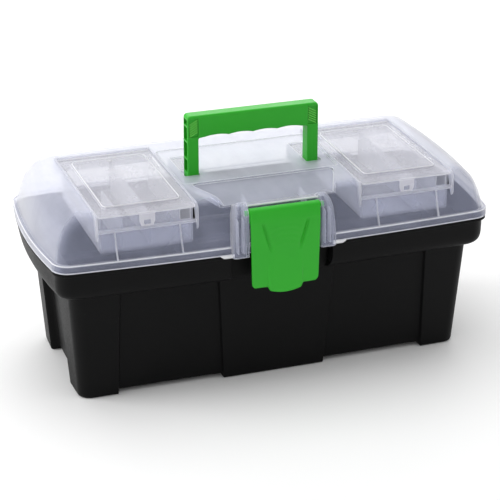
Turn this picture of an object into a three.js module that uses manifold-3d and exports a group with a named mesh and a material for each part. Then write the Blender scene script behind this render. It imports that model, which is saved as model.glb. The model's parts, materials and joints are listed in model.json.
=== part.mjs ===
// Toolbox with a translucent organiser lid, a folding carry handle, a swing latch and a lift-out tray.
// Millimetres. X runs along the box, -Y is the latch side, +Z is up.
// The origin is the middle of the footprint, level with the undersides of the feet.

import * as THREE from 'three';
import { mergeVertices } from 'three/addons/utils/BufferGeometryUtils.js';
import Module from 'manifold-3d';

const wasm = await Module();
wasm.setup();

// ---- driving dimensions ----

const LENGTH = 402; // over the lid flange
const DEPTH = 183; // over the lid flange
const BOW_END = 5.5; // how far the two ends bulge in plan
const BOW_SIDE = 6; // how far the front and back bulge in plan
const CORNER_RADIUS = 15; // plan corner of the flange
const WALL = 2.2; // moulded wall of the tub
const LID_WALL = 2; // moulded wall of the lid
const GAP = 0.3; // between pieces that touch
const SIDE_STEPS = 4; // facets along a bowed side
const CORNER_STEPS = 4; // facets round a plan corner

const SPLIT_Z = 126; // where lid and tub meet
const FLOOR_Z = 6; // inner floor of the tub
const NOTCH_Z = 3.5; // underside of the tub between its feet
const SKIRT_Z = 101; // lower edge of the band under the rim
const RIM_TOP = 131.2; // top of the tub's upstand, inside the lid flange
const FOOT_INSET = 23; // foot outline inside the flange outline
const WALL_END_INSET = 2.5; // the wall stands this much further in at the two ends
const WALL_TOP_INSET = 15; // wall just under the band
const SKIRT_INSET = 3.5; // band inside the flange outline

const PANEL_DEPTH = 3; // sunk panels of the front and back
const PANEL_TOP = 98;
const PANEL_INNER = [46.5, 52.5]; // half-width of the middle post, bottom and top
const PANEL_OUTER = [140, 138]; // inner edge of the corner posts, bottom and top
const END_PANEL_DEPTH = 7.5; // sunk panels of the two ends
const END_PANEL_HALF = [34, 31]; // half-width of the end panel, bottom and top
const RELIEF_HALF = 45; // the band is cut back behind the latch
const RELIEF_INSET = 12.5;

const LID_STEP_Z = 133.4; // top of the flange
const LID_TOP = 172;
const COVER_X = 115.3; // middle of an organiser, from the box's middle
const COVER_HALF = 41.6; // half-width of an organiser cover
const COVER_FRONT = -81.5;
const COVER_PIVOT = [58.5, 170.1]; // y, z
const COVER_Z = 169.6; // underside of a cover
const WELL_FRONT = -79; // outer face of an organiser box
const WELL_BACK = 54;
const WELL_BOTTOM = 137.5;
const WELL_WALL = 1.6;
const LEDGE_Z = 158; // the organiser's front face stands on this ledge

const BRIDGE_Z = 171; // top of the lid between the organisers
const BRIDGE_HALF = 70.5;
const SLOPE_TOP = [-35, 170.2]; // y, z where the front slope starts
const SLOPE_FOOT = [-85, 165.5];
const SLOPE_HALF = [66, 46]; // half-width of the slope at its top and foot

const HANDLE_HALF = 59.5;
const HANDLE_TOP = 224;
const HANDLE_Y = [-14, -1.5];
const HANDLE_BAR_BOTTOM = 204.4;
const HANDLE_LEG = 10;
const HANDLE_PIVOT = [-7.75, 165.6]; // y, z
const HANDLE_FOOT_RADIUS = 6.2;
const HANDLE_TRUNNION = 3;
const SLOT_X = [48.6, 62.5];
const SLOT_Y = [-15.2, 33.5];
const FINGER_PITCH = 22;
const FINGER_RISE = 1.3;

const LATCH_HALF = [31.2, 29.6]; // half-width at the top and at the foot
const LATCH_FRONT = -96.6;
const LATCH_BACK = -94;
const LATCH_PIVOT = [-90.8, 162.2]; // y, z
const LATCH_ROLL = 3.8;
const LATCH_PINTLE = 2.4;
const LATCH_FOOT_Z = 95;
const CHEEK_X = [31.8, 46]; // the two pillars beside the latch
const PORCH_FRONT = -96.4;
const PORCH_BOTTOM = 124.6;

const HINGE_AXIS = [93.4, 126]; // y, z
const HINGE_RADIUS = 4.1;
const HINGE_PIN = 1.9;
const HINGE_X = 112; // middle of each rear hinge
const LID_KNUCKLE = 11; // half-width of the lid's knuckle
const TUB_KNUCKLE = 10; // width of each of the tub's two knuckles

const TRAY_LIP_Z = [102.6, 105]; // the tray's rim rests on the ledge inside the band
const TRAY_BOTTOM = 76;
const TRAY_WALL = 1.8;
const TRAY_LIP_INSET = 7.2;
const TRAY_BODY_INSET = [30.5, 21.5]; // at the ends, at the sides
const TRAY_GRIP_TOP = 124;
const TRAY_GRIP_HALF = 62;
const TRAY_GRIP_PLATE = 2.4; // thickness of the plate under the grip
const TRAY_PARTITION_X = 70;

// ---- solids ----

// Turns a three.js geometry into a manifold solid.
function solid(geometry) {
  const bare = geometry.clone();
  bare.deleteAttribute('normal');
  bare.deleteAttribute('uv');
  const merged = mergeVertices(bare, 1e-4);
  const vertProperties = new Float32Array(merged.attributes.position.array);
  const triVerts = new Uint32Array(merged.index.array);
  return new wasm.Manifold(new wasm.Mesh({ numProp: 3, vertProperties, triVerts }));
}

// Turns a manifold solid back into a three.js geometry.
function geometryOf(body) {
  const mesh = body.getMesh();
  const geometry = new THREE.BufferGeometry();
  geometry.setAttribute('position', new THREE.BufferAttribute(new Float32Array(mesh.vertProperties), 3));
  geometry.setIndex(new THREE.BufferAttribute(new Uint32Array(mesh.triVerts), 1));
  geometry.computeVertexNormals();
  return geometry;
}

function join(...bodies) {
  return bodies.reduce((sum, body) => sum.add(body));
}

function box(x0, x1, y0, y1, z0, z1) {
  const geometry = new THREE.BoxGeometry(x1 - x0, y1 - y0, z1 - z0);
  geometry.translate((x0 + x1) / 2, (y0 + y1) / 2, (z0 + z1) / 2);
  return solid(geometry);
}

// A cylinder along X.
function rod(x0, x1, [y, z], radius, sides = 20) {
  const geometry = new THREE.CylinderGeometry(radius, radius, x1 - x0, sides);
  geometry.rotateZ(Math.PI / 2);
  geometry.translate((x0 + x1) / 2, y, z);
  return solid(geometry);
}

function shapeOf(points) {
  return new THREE.Shape(points.map(([a, b]) => new THREE.Vector2(a, b)));
}

// Extrudes an outline drawn in X and Z through y0 to y1.
function plateXZ(points, y0, y1) {
  const geometry = new THREE.ExtrudeGeometry(shapeOf(points), { depth: y1 - y0, bevelEnabled: false });
  geometry.rotateX(Math.PI / 2);
  geometry.translate(0, y1, 0);
  return solid(geometry);
}

// Extrudes an outline drawn in Y and Z through x0 to x1.
function plateYZ(points, x0, x1) {
  const geometry = new THREE.ExtrudeGeometry(shapeOf(points), { depth: x1 - x0, bevelEnabled: false });
  geometry.applyMatrix4(new THREE.Matrix4().set(0, 0, 1, x0, 1, 0, 0, 0, 0, 1, 0, 0, 0, 0, 0, 1));
  return solid(geometry);
}

// Extrudes an outline drawn in X and Y through z0 to z1.
function plateXY(points, z0, z1) {
  const geometry = new THREE.ExtrudeGeometry(shapeOf(points), { depth: z1 - z0, bevelEnabled: false });
  geometry.translate(0, 0, z0);
  return solid(geometry);
}

function mirrored(body) {
  return body.mirror([1, 0, 0]);
}

function bothSides(body) {
  return body.add(mirrored(body));
}

// The same outline on the back as on the front.
function frontAndBack(body) {
  return body.add(body.mirror([0, 1, 0]));
}

// Plan outline: a rectangle with bowed sides and round corners.
function planOutline(insetX, insetY) {
  const inset = Math.min(insetX, insetY);
  const halfX = LENGTH / 2 - insetX;
  const halfY = DEPTH / 2 - insetY;
  const flatten = Math.max(0.2, 1 - inset / 30);
  const bowX = BOW_END * flatten;
  const bowY = BOW_SIDE * flatten;
  const radius = CORNER_RADIUS - 0.2 * Math.min(inset, 25);
  const centreX = halfX - bowX - radius;
  const centreY = halfY - bowY - radius;
  const quarter = [];
  for (let i = 0; i <= CORNER_STEPS; i += 1) {
    const angle = (Math.PI / 2) * (i / CORNER_STEPS);
    quarter.push([centreX + radius * Math.cos(angle), centreY + radius * Math.sin(angle)]);
  }
  for (let i = 1; i < SIDE_STEPS; i += 1) {
    const t = 1 - (2 * i) / SIDE_STEPS;
    quarter.push([centreX * t, halfY - bowY * t * t]);
  }
  const half = quarter.concat(
    [...quarter.slice(0, CORNER_STEPS + 1)].reverse().map(([x, y]) => [-x, y]),
  );
  for (let i = 1; i < SIDE_STEPS; i += 1) {
    const t = 1 - (2 * i) / SIDE_STEPS;
    half.push([-(halfX - bowX * t * t), centreY * t]);
  }
  const bottom = half.slice(0, half.length - (SIDE_STEPS - 1)).map(([x, y]) => [-x, -y]);
  const right = half.slice(half.length - (SIDE_STEPS - 1)).map(([x, y]) => [-x, -y]);
  return half.concat(bottom, right);
}

// Stacks plan outlines, given as [z, insetX, insetY], into a closed solid.
function loft(levels) {
  const rings = levels.map(([z, insetX, insetY = insetX, back = 0]) => {
    const stretch = 1 + back / (DEPTH / 2);
    return planOutline(insetX, insetY).map(([x, y]) => [x, y > 0 ? y * stretch : y, z]);
  });
  const count = rings[0].length;
  const positions = [];
  const quad = (a, b, c, d) => positions.push(...a, ...b, ...c, ...a, ...c, ...d);
  for (let level = 1; level < rings.length; level += 1) {
    for (let i = 0; i < count; i += 1) {
      const next = (i + 1) % count;
      quad(rings[level - 1][i], rings[level - 1][next], rings[level][next], rings[level][i]);
    }
  }
  const low = rings[0];
  const high = rings[rings.length - 1];
  for (let i = 0; i < count; i += 1) {
    const next = (i + 1) % count;
    positions.push(0, 0, low[0][2], ...low[next], ...low[i]);
    positions.push(0, 0, high[0][2], ...high[i], ...high[next]);
  }
  const geometry = new THREE.BufferGeometry();
  geometry.setAttribute('position', new THREE.BufferAttribute(new Float32Array(positions), 3));
  return solid(geometry);
}

function part(name, body, color, roughness, opacity = 1) {
  const material = new THREE.MeshStandardMaterial({ color, roughness, metalness: 0, opacity });
  material.transparent = opacity < 1;
  const mesh = new THREE.Mesh(geometryOf(body), material);
  mesh.name = name;
  return mesh;
}

// ---- tub ----

function wallLevel(z, inset) {
  return [z, inset + WALL_END_INSET, inset];
}

// The drafted wall with its sunk panels. `grow` moves every face inwards, for the hollow.
function panelledWall(bottomZ, grow) {
  const wall = (extra) => loft([
    wallLevel(bottomZ, FOOT_INSET + 1.2 + grow + extra),
    wallLevel(bottomZ + 1.2, FOOT_INSET + grow + extra),
    wallLevel(PANEL_TOP + 4, WALL_TOP_INSET + grow + extra),
  ]);
  const side = plateXZ([
    [PANEL_INNER[0] - grow, -1],
    [PANEL_OUTER[0] + grow, -1],
    [PANEL_OUTER[1] + grow, PANEL_TOP + grow],
    [PANEL_INNER[1] - grow, PANEL_TOP + grow],
  ], -DEPTH / 2, -DEPTH / 4);
  const end = plateYZ([
    [-END_PANEL_HALF[0] - grow, -1],
    [END_PANEL_HALF[0] + grow, -1],
    [END_PANEL_HALF[1] + grow, PANEL_TOP + grow],
    [-END_PANEL_HALF[1] - grow, PANEL_TOP + grow],
  ], LENGTH / 4, LENGTH / 2);
  const sunkSides = frontAndBack(bothSides(side)).subtract(wall(PANEL_DEPTH));
  const sunkEnds = bothSides(end).subtract(wall(END_PANEL_DEPTH));
  return wall(0).subtract(sunkSides).subtract(sunkEnds);
}

// The band under the rim, cut back behind the latch.
function band(levels, grow) {
  const relief = plateXZ([
    [-RELIEF_HALF + 5 - grow, SKIRT_Z - 8],
    [RELIEF_HALF - 5 + grow, SKIRT_Z - 8],
    [RELIEF_HALF + grow, SKIRT_Z + 8],
    [RELIEF_HALF + grow, SPLIT_Z - 3.4 - grow],
    [-RELIEF_HALF - grow, SPLIT_Z - 3.4 - grow],
    [-RELIEF_HALF - grow, SKIRT_Z + 8],
  ], -DEPTH, -DEPTH / 4);
  const behind = loft([[SKIRT_Z - 20, RELIEF_INSET + grow], [SPLIT_Z + 5, RELIEF_INSET + grow]]);
  return loft(levels).subtract(relief.subtract(behind));
}

function tubFeet() {
  const slab = box(-LENGTH, LENGTH, -DEPTH, DEPTH, -1, NOTCH_Z);
  const corner = box(PANEL_OUTER[0], LENGTH / 2, -DEPTH / 2, -END_PANEL_HALF[0], -2, NOTCH_Z + 1);
  const middle = box(-PANEL_INNER[0], PANEL_INNER[0], -DEPTH / 2, -DEPTH / 2 + 40, -2, NOTCH_Z + 1);
  return slab.subtract(frontAndBack(bothSides(corner).add(middle)));
}

function tubKnuckles() {
  const [y, z] = HINGE_AXIS;
  const inner = LID_KNUCKLE + GAP;
  const outer = inner + TUB_KNUCKLE;
  const knuckles = [[HINGE_X - outer, HINGE_X - inner], [HINGE_X + inner, HINGE_X + outer]].map(([x0, x1]) => {
    const bracket = plateYZ([
      [y - 7.4, z - 16],
      [y - 3, z - 16],
      [y + HINGE_RADIUS - 0.3, z - 1],
      [y + 0.5, z + 1],
      [y - 1.6, z - 0.5],
      [y - 7.4, z - 0.5],
    ], x0, x1);
    return rod(x0, x1, HINGE_AXIS, HINGE_RADIUS).add(bracket);
  });
  return bothSides(join(...knuckles));
}

function tub() {
  const outside = panelledWall(0, 0).add(band([
    wallLevel(SKIRT_Z - 2.4, WALL_TOP_INSET - 1),
    [SKIRT_Z - 1.4, 10.6, 9],
    [SKIRT_Z + 0.4, 5.6],
    [SKIRT_Z + 3.4, 4],
    [SKIRT_Z + 7, SKIRT_INSET],
    [SPLIT_Z - 3.2, SKIRT_INSET - 0.2],
    [SPLIT_Z - 3, 0.4],
    [SPLIT_Z - 0.4, 0.3],
    [SPLIT_Z - 0.3, SKIRT_INSET],
    [RIM_TOP, SKIRT_INSET + 0.2],
  ], 0));
  const hollow = panelledWall(FLOOR_Z, WALL).add(band([
    wallLevel(SKIRT_Z - 0.6, WALL_TOP_INSET + WALL),
    wallLevel(TRAY_LIP_Z[0] - GAP, WALL_TOP_INSET + WALL),
    [TRAY_LIP_Z[0] - GAP + 0.01, SKIRT_INSET + WALL + 0.1],
    [RIM_TOP + 4, SKIRT_INSET + WALL + 0.1],
  ], WALL));
  const lidSwing = rod(HINGE_X - LID_KNUCKLE - GAP, HINGE_X + LID_KNUCKLE + GAP, HINGE_AXIS, HINGE_RADIUS + 0.8);
  const pinBore = bothSides(rod(HINGE_X - 60, HINGE_X + 60, HINGE_AXIS, HINGE_PIN + GAP, 16));
  return join(outside, tubKnuckles())
    .subtract(hollow)
    .subtract(tubFeet())
    .subtract(bothSides(lidSwing))
    .subtract(pinBore);
}

function hingePin() {
  const reach = LID_KNUCKLE + TUB_KNUCKLE + 0.3;
  const head = rod(HINGE_X + reach + 0.4, HINGE_X + reach + 1.8, HINGE_AXIS, HINGE_PIN + 1.2);
  return rod(HINGE_X - reach - 1.2, HINGE_X + reach + 0.6, HINGE_AXIS, HINGE_PIN, 16).add(head);
}

// ---- lid ----

// Half-profile of the lid above its flange: a drafted wall that rolls over into a shallow crown.
const LID_PROFILE = [
  // z, inset at the ends, inset at the sides, how much less it is at the back
  [LID_STEP_Z, 4, 3, 0],
  [146, 7.6, 6.6, 0.8],
  [157, 12.8, 10.4, 2.6],
  [163.5, 18.4, 12.6, 4],
  [168.2, 23.6, 14.4, 5],
  [170.4, 27.6, 18, 5.5],
  [LID_TOP, 36, 30, 6],
];

function lidOutside() {
  return loft([
    [SPLIT_Z, 0.2],
    [SPLIT_Z + 0.5, 0],
    [LID_STEP_Z - 0.7, 0.2],
    [LID_STEP_Z - 0.05, 0.9],
    ...LID_PROFILE,
  ]);
}

function lidInside() {
  const skin = LID_PROFILE.slice(1).map(([z, end, side, back], i) => {
    const lean = i / (LID_PROFILE.length - 2);
    const inwards = LID_WALL * (1 - 0.45 * lean);
    return [z - LID_WALL * lean, end + inwards, side + inwards, back];
  });
  return loft([
    [SPLIT_Z - 1, LID_WALL],
    [LID_STEP_Z - 1.6, LID_WALL],
    [LID_STEP_Z - 1.55, 4 + LID_WALL, 3 + LID_WALL],
    ...skin,
  ]);
}

// Everything above the handle bridge and the front slope. `drop` lowers it, for the hollow.
function bridgeCut(drop) {
  const [slopeY, slopeZ] = SLOPE_TOP;
  const [footY, footZ] = SLOPE_FOOT;
  const high = LID_TOP + 8;
  const pitch = (slopeZ - footZ) / (slopeY - footY);
  const slope = plateYZ([
    [footY - 12, footZ - 12 * pitch - drop],
    [slopeY, slopeZ - drop],
    [slopeY, high],
    [footY - 12, high],
  ], -BRIDGE_HALF, BRIDGE_HALF);
  const wedge = plateXY([
    [-SLOPE_HALF[0] - drop, slopeY],
    [-SLOPE_HALF[1] - drop, footY],
    [-SLOPE_HALF[1] - drop, footY - 12],
    [SLOPE_HALF[1] + drop, footY - 12],
    [SLOPE_HALF[1] + drop, footY],
    [SLOPE_HALF[0] + drop, slopeY],
  ], LID_TOP - 20, high);
  const bridge = box(-BRIDGE_HALF, BRIDGE_HALF, slopeY - 0.01, 50 + drop, BRIDGE_Z - drop, high);
  return slope.intersect(wedge).add(bridge);
}

// Section of the pillars beside the latch, with a round shoulder.
function porchSection(shrink) {
  const front = PORCH_FRONT + shrink;
  const points = [[-76, PORCH_BOTTOM - (shrink ? 1 : 0)], [-76, 164.8 - shrink], [-80, 167 - shrink], [-85, 170 - shrink]];
  for (let i = 1; i <= 4; i += 1) {
    const angle = (Math.PI / 2) * (i / 4);
    points.push([-86 - (8.6 - shrink) * Math.sin(angle), 158 - shrink + 12 * Math.cos(angle)]);
  }
  points.push([front, 145], [front, PORCH_BOTTOM - (shrink ? 1 : 0)]);
  return points;
}

// The housing round the latch: two hollow pillars and a back wall between them.
function porch() {
  const [inner, outer] = CHEEK_X;
  const front = (shrink) => plateXZ([
    [inner + shrink, PORCH_BOTTOM - 2],
    [outer - shrink, PORCH_BOTTOM - 2],
    [outer - shrink, 134],
    [outer - 2.2 - shrink, 158],
    [outer - 4.5 - shrink, 166],
    [outer - 9 - shrink, LID_TOP - shrink],
    [inner + shrink, LID_TOP - shrink],
  ], -DEPTH, -70);
  const pillar = plateYZ(porchSection(0), inner, outer).intersect(front(0));
  const pillarHollow = plateYZ(porchSection(LID_WALL), inner, outer).intersect(front(LID_WALL));
  const [footY, footZ] = SLOPE_FOOT;
  const backWall = box(-inner - 1, inner + 1, footY - 1.6, footY + 0.4, SPLIT_Z, footZ);
  const shelf = box(-inner - 1, inner + 1, footY - 1.6, -70, footZ - 2.2, footZ);
  const behind = box(-inner + 2, inner - 2, footY + 0.4, -76, LID_STEP_Z + 1, footZ - 2.2);
  const lip = box(-inner - 1, inner + 1, footY - 1.6, footY - 0.6, footZ - 1, footZ + 2);
  const [pivotY, pivotZ] = LATCH_PIVOT;
  const liner = box(inner, inner + 5, pivotY - 5, pivotY + 5, pivotZ - 5, pivotZ + 3.2)
    .intersect(plateYZ(porchSection(0), inner, inner + 5));
  const rim = loft([[PORCH_BOTTOM - 20, -0.1], [SPLIT_Z + 0.2, -0.1]])
    .add(loft([[SPLIT_Z - 1, 2.9], [RIM_TOP + 0.5, 2.9]]));
  return {
    solid: join(bothSides(pillar), backWall, shelf, lip).subtract(rim),
    hollow: bothSides(pillarHollow).add(behind),
    liners: bothSides(liner),
  };
}

function wellBox(shrink, top) {
  const half = COVER_HALF - 1.4 - shrink;
  return box(COVER_X - half, COVER_X + half, WELL_FRONT + shrink, WELL_BACK - shrink, WELL_BOTTOM + shrink, top);
}

// Raised ribs on both sides of an organiser cover, running down over the front edge.
function coverRibs() {
  const rib = (x) => plateYZ([
    [-82.6, 153],
    [-80.4, 150],
    [-74, 160],
    [WELL_BACK, 166],
    [WELL_BACK, LID_TOP + 0.6],
    [-78.4, LID_TOP + 0.6],
    [-81.9, 169.6],
  ], x, x + 1.5);
  return rib(COVER_X - COVER_HALF - 2).add(rib(COVER_X + COVER_HALF + 0.5));
}

// The block at the back of an organiser that carries the cover's two stub pins.
function coverHinge() {
  const [y, z] = COVER_PIVOT;
  const half = COVER_HALF + 2;
  const block = box(COVER_X - half, COVER_X + half, WELL_BACK - WELL_WALL, y + 5, 162, LID_TOP - 0.2);
  const groove = rod(COVER_X - COVER_HALF - 0.4, COVER_X + COVER_HALF + 0.4, COVER_PIVOT, 3);
  const mouth = box(COVER_X - COVER_HALF - 0.4, COVER_X + COVER_HALF + 0.4, y - 12, y + 3, z, LID_TOP + 2);
  const stubs = rod(COVER_X - half + 0.6, COVER_X + half - 0.6, COVER_PIVOT, 1.4, 12);
  return { solid: block, hollow: join(groove, mouth, stubs) };
}

function handleMounts() {
  const [y, z] = HANDLE_PIVOT;
  const boss = box(SLOT_X[0] - 7.4, SLOT_X[0] - 0.1, y - 6.5, y + 6.5, z - 6, BRIDGE_Z - 1);
  const slot = box(SLOT_X[0], SLOT_X[1], SLOT_Y[0], SLOT_Y[1], z - 9, BRIDGE_Z + 2);
  const hole = rod(SLOT_X[0] - 9, SLOT_X[0] + 1, HANDLE_PIVOT, HANDLE_TRUNNION + GAP, 16);
  return { solid: bothSides(boss), hollow: bothSides(slot.add(hole)) };
}

function lidKnuckles() {
  const [y, z] = HINGE_AXIS;
  const bracket = plateYZ([
    [y - 3.6, z + 1],
    [y, z],
    [y + HINGE_RADIUS - 0.4, z + 1.4],
    [y - 0.4, LID_STEP_Z],
    [y - 3.6, LID_STEP_Z],
  ], HINGE_X - LID_KNUCKLE, HINGE_X + LID_KNUCKLE);
  return bothSides(rod(HINGE_X - LID_KNUCKLE, HINGE_X + LID_KNUCKLE, HINGE_AXIS, HINGE_RADIUS).add(bracket));
}

function lid() {
  const { solid: porchSolid, hollow: porchHollow, liners } = porch();
  const hinge = coverHinge();
  const mounts = handleMounts();

  const skin = lidOutside().subtract(bridgeCut(0)).subtract(lidInside().subtract(bridgeCut(LID_WALL)));
  const latchBay = box(-CHEEK_X[0], CHEEK_X[0], -DEPTH, SLOPE_FOOT[0] - 1.6, LID_STEP_Z, LID_TOP + 2)
    .add(box(-CHEEK_X[0], CHEEK_X[0], -DEPTH, -DEPTH / 2 - GAP, PORCH_BOTTOM - 2, LID_TOP + 2));
  const overCover = box(
    COVER_X - COVER_HALF - 0.4, COVER_X + COVER_HALF + 0.4, -DEPTH, COVER_PIVOT[0] + 3, COVER_Z - GAP, LID_TOP + 4,
  );
  const faceCut = box(
    COVER_X - COVER_HALF + 1.4, COVER_X + COVER_HALF - 1.4, -DEPTH, WELL_FRONT, LEDGE_Z, LID_TOP + 4,
  );
  const organiser = join(wellBox(0, COVER_Z - GAP), coverRibs(), hinge.solid)
    .subtract(wellBox(WELL_WALL, LID_TOP + 4));
  const organiserHollow = join(overCover, faceCut, wellBox(WELL_WALL, LID_TOP + 4), hinge.hollow);

  const pintleHoles = rod(-CHEEK_X[0] - 4, CHEEK_X[0] + 4, LATCH_PIVOT, LATCH_PINTLE + GAP, 16);
  const tubSwing = bothSides(join(...[-1, 1].map((side) => {
    const middle = HINGE_X + side * (LID_KNUCKLE + GAP + TUB_KNUCKLE / 2);
    const half = TUB_KNUCKLE / 2 + GAP;
    return rod(middle - half, middle + half, HINGE_AXIS, HINGE_RADIUS + 0.8);
  })));
  const pinBore = bothSides(rod(HINGE_X - 20, HINGE_X + 20, HINGE_AXIS, HINGE_PIN + GAP, 16));

  return join(skin.add(porchSolid).subtract(porchHollow), mounts.solid, liners)
    .subtract(latchBay)
    .add(bothSides(organiser))
    .subtract(bothSides(organiserHollow))
    .add(lidKnuckles())
    .subtract(join(mounts.hollow, pintleHoles, tubSwing, pinBore));
}

// ---- organiser covers and dividers ----

function organiserCover() {
  const [y, z] = COVER_PIVOT;
  const half = COVER_HALF;
  const sheet = 1.7;
  const panelTop = COVER_Z + 4;
  const flat = box(COVER_X - half, COVER_X + half, COVER_FRONT, y - 1, COVER_Z, COVER_Z + sheet);
  const raised = box(COVER_X - 33.6, COVER_X + 33.6, -66.4, 44, COVER_Z, panelTop);
  const underside = box(COVER_X - 32, COVER_X + 32, -64.8, 42.4, COVER_Z - 1, panelTop - sheet);
  const barrel = rod(COVER_X - half, COVER_X + half, COVER_PIVOT, 1.6, 12);
  const stubs = rod(COVER_X - half - 1.2, COVER_X + half + 1.2, COVER_PIVOT, 1.1, 12);
  const tab = plateXZ([
    [COVER_X - 6.6, COVER_Z + sheet],
    [COVER_X - 6.6, 163],
    [COVER_X - 5, 158.6],
    [COVER_X + 5, 158.6],
    [COVER_X + 6.6, 163],
    [COVER_X + 6.6, COVER_Z + sheet],
  ], COVER_FRONT, COVER_FRONT + 1.6);
  const window = box(COVER_X - 3, COVER_X + 3, COVER_FRONT - 1, COVER_FRONT + 3, 160, 164.4);
  return join(flat, raised, barrel, stubs, tab).subtract(underside).subtract(window);
}

// A plate standing in an organiser, parallel to Y.
function divider(x, y0, y1) {
  const thickness = 1.6;
  const bottom = WELL_BOTTOM + WELL_WALL + GAP;
  const top = COVER_Z - 2.4;
  return plateYZ([
    [y0, bottom],
    [y1, bottom],
    [y1, top],
    [y0, top],
  ], x - thickness / 2, x + thickness / 2);
}

// ---- handle ----

function handle() {
  const [y0, y1] = HANDLE_Y;
  const [pivotY, pivotZ] = HANDLE_PIVOT;
  const inner = HANDLE_HALF - HANDLE_LEG;
  const outline = [[HANDLE_HALF, pivotZ - 10], [HANDLE_HALF, HANDLE_TOP - 6]];
  for (let i = 1; i <= 4; i += 1) {
    const angle = (Math.PI / 2) * (i / 4);
    outline.push([HANDLE_HALF - 6 + 6 * Math.cos(angle), HANDLE_TOP - 6 + 6 * Math.sin(angle)]);
  }
  const left = [...outline].reverse().map(([x, z]) => [-x, z]);
  const grip = [[-inner, pivotZ - 10], [-inner, HANDLE_BAR_BOTTOM - 0.8]];
  const fingers = 4;
  const perFinger = 6;
  for (let i = 0; i <= fingers * perFinger; i += 1) {
    const t = i / perFinger;
    const rise = FINGER_RISE * Math.abs(Math.sin(Math.PI * t));
    grip.push([(t - fingers / 2) * FINGER_PITCH, HANDLE_BAR_BOTTOM + rise]);
  }
  grip.push([inner, HANDLE_BAR_BOTTOM - 0.8], [inner, pivotZ - 10]);
  const arch = plateXZ([...outline, ...left, ...grip], y0, y1);

  const crown = [[y0, HANDLE_TOP - 5.5]];
  for (let i = 1; i <= 4; i += 1) {
    const angle = (Math.PI / 2) * (i / 4);
    crown.push([y0 + 5 - 5 * Math.cos(angle), HANDLE_TOP - 5.5 + 5.5 * Math.sin(angle)]);
  }
  for (let i = 0; i <= 4; i += 1) {
    const angle = (Math.PI / 2) * (i / 4);
    crown.push([y1 - 4 + 4 * Math.sin(angle), HANDLE_TOP - 4 + 4 * Math.cos(angle)]);
  }
  const foot = [];
  for (let i = 0; i <= 8; i += 1) {
    const angle = Math.PI * (i / 8);
    foot.push([pivotY + HANDLE_FOOT_RADIUS * Math.cos(angle), pivotZ - HANDLE_FOOT_RADIUS * Math.sin(angle)]);
  }
  const section = plateYZ([...crown, ...foot], -HANDLE_HALF - 1, HANDLE_HALF + 1);

  const pockets = [[170, 183.8], [185.6, 199.6], [201.4, 213.4]].map(([z0, z1]) => (
    box(HANDLE_HALF - 7.2, HANDLE_HALF + 1, y0 + 1.8, y1 - 1.8, z0, z1)
  ));
  const trunnions = bothSides(rod(inner - 6.4, inner + 1, HANDLE_PIVOT, HANDLE_TRUNNION, 16));
  return arch.intersect(section).subtract(bothSides(join(...pockets))).add(trunnions);
}

// ---- latch ----

function latch() {
  const [pivotY, pivotZ] = LATCH_PIVOT;
  const [topHalf, footHalf] = LATCH_HALF;
  const outline = [[-topHalf, pivotZ + 2], [-footHalf, LATCH_FOOT_Z + 3], [-footHalf + 2.6, LATCH_FOOT_Z]];
  outline.push([-15.5, LATCH_FOOT_Z - 0.6], [-13.6, LATCH_FOOT_Z - 3.2]);
  for (let i = 0; i <= 6; i += 1) {
    const t = i / 3 - 1;
    outline.push([12.4 * t, LATCH_FOOT_Z - 4 - 2.2 * (1 - t * t)]);
  }
  outline.push([13.6, LATCH_FOOT_Z - 3.2], [15.5, LATCH_FOOT_Z - 0.6]);
  outline.push([footHalf - 2.6, LATCH_FOOT_Z], [footHalf, LATCH_FOOT_Z + 3], [topHalf, pivotZ + 2]);
  const face = plateXZ(outline, LATCH_FRONT - 2, LATCH_BACK + 8);
  const side = plateYZ([
    [LATCH_FRONT, LATCH_FOOT_Z - 8],
    [LATCH_BACK, LATCH_FOOT_Z - 8],
    [LATCH_BACK, pivotZ - 8],
    [pivotY - 1, pivotZ - 2],
    [pivotY - 1, pivotZ + 2],
    [pivotY - 3.4, pivotZ + 2],
    [LATCH_FRONT, pivotZ - 6],
  ], -topHalf, topHalf);
  const panel = box(-15, 15, LATCH_FRONT - 0.9, LATCH_FRONT + 1, LATCH_FOOT_Z - 8, LATCH_FOOT_Z + 15);
  const roll = rod(-topHalf, topHalf, LATCH_PIVOT, LATCH_ROLL);
  const pintles = rod(-CHEEK_X[0] - 3.2, CHEEK_X[0] + 3.2, LATCH_PIVOT, LATCH_PINTLE, 16);
  const hook = box(-20, 20, LATCH_BACK - 0.5, -DEPTH / 2 - 0.5, 116.5, 120.5);
  const webs = [-24, 24].map((x) => box(x - 0.9, x + 0.9, LATCH_BACK - 0.5, LATCH_BACK + 1.6, 104, 150));
  const grips = join(...webs);
  return join(face.intersect(side), face.intersect(panel), roll, pintles, hook, grips);
}

// ---- tray ----

// The tray's outer body, moved inwards by `grow`.
function trayBody(grow, bottom, top) {
  const [endInset, sideInset] = TRAY_BODY_INSET;
  return loft([
    [bottom, endInset + 5 + grow, sideInset + 5 + grow],
    [bottom + 3, endInset + 3 + grow, sideInset + 3 + grow],
    [top, endInset + grow, sideInset + grow],
  ]);
}

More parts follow.
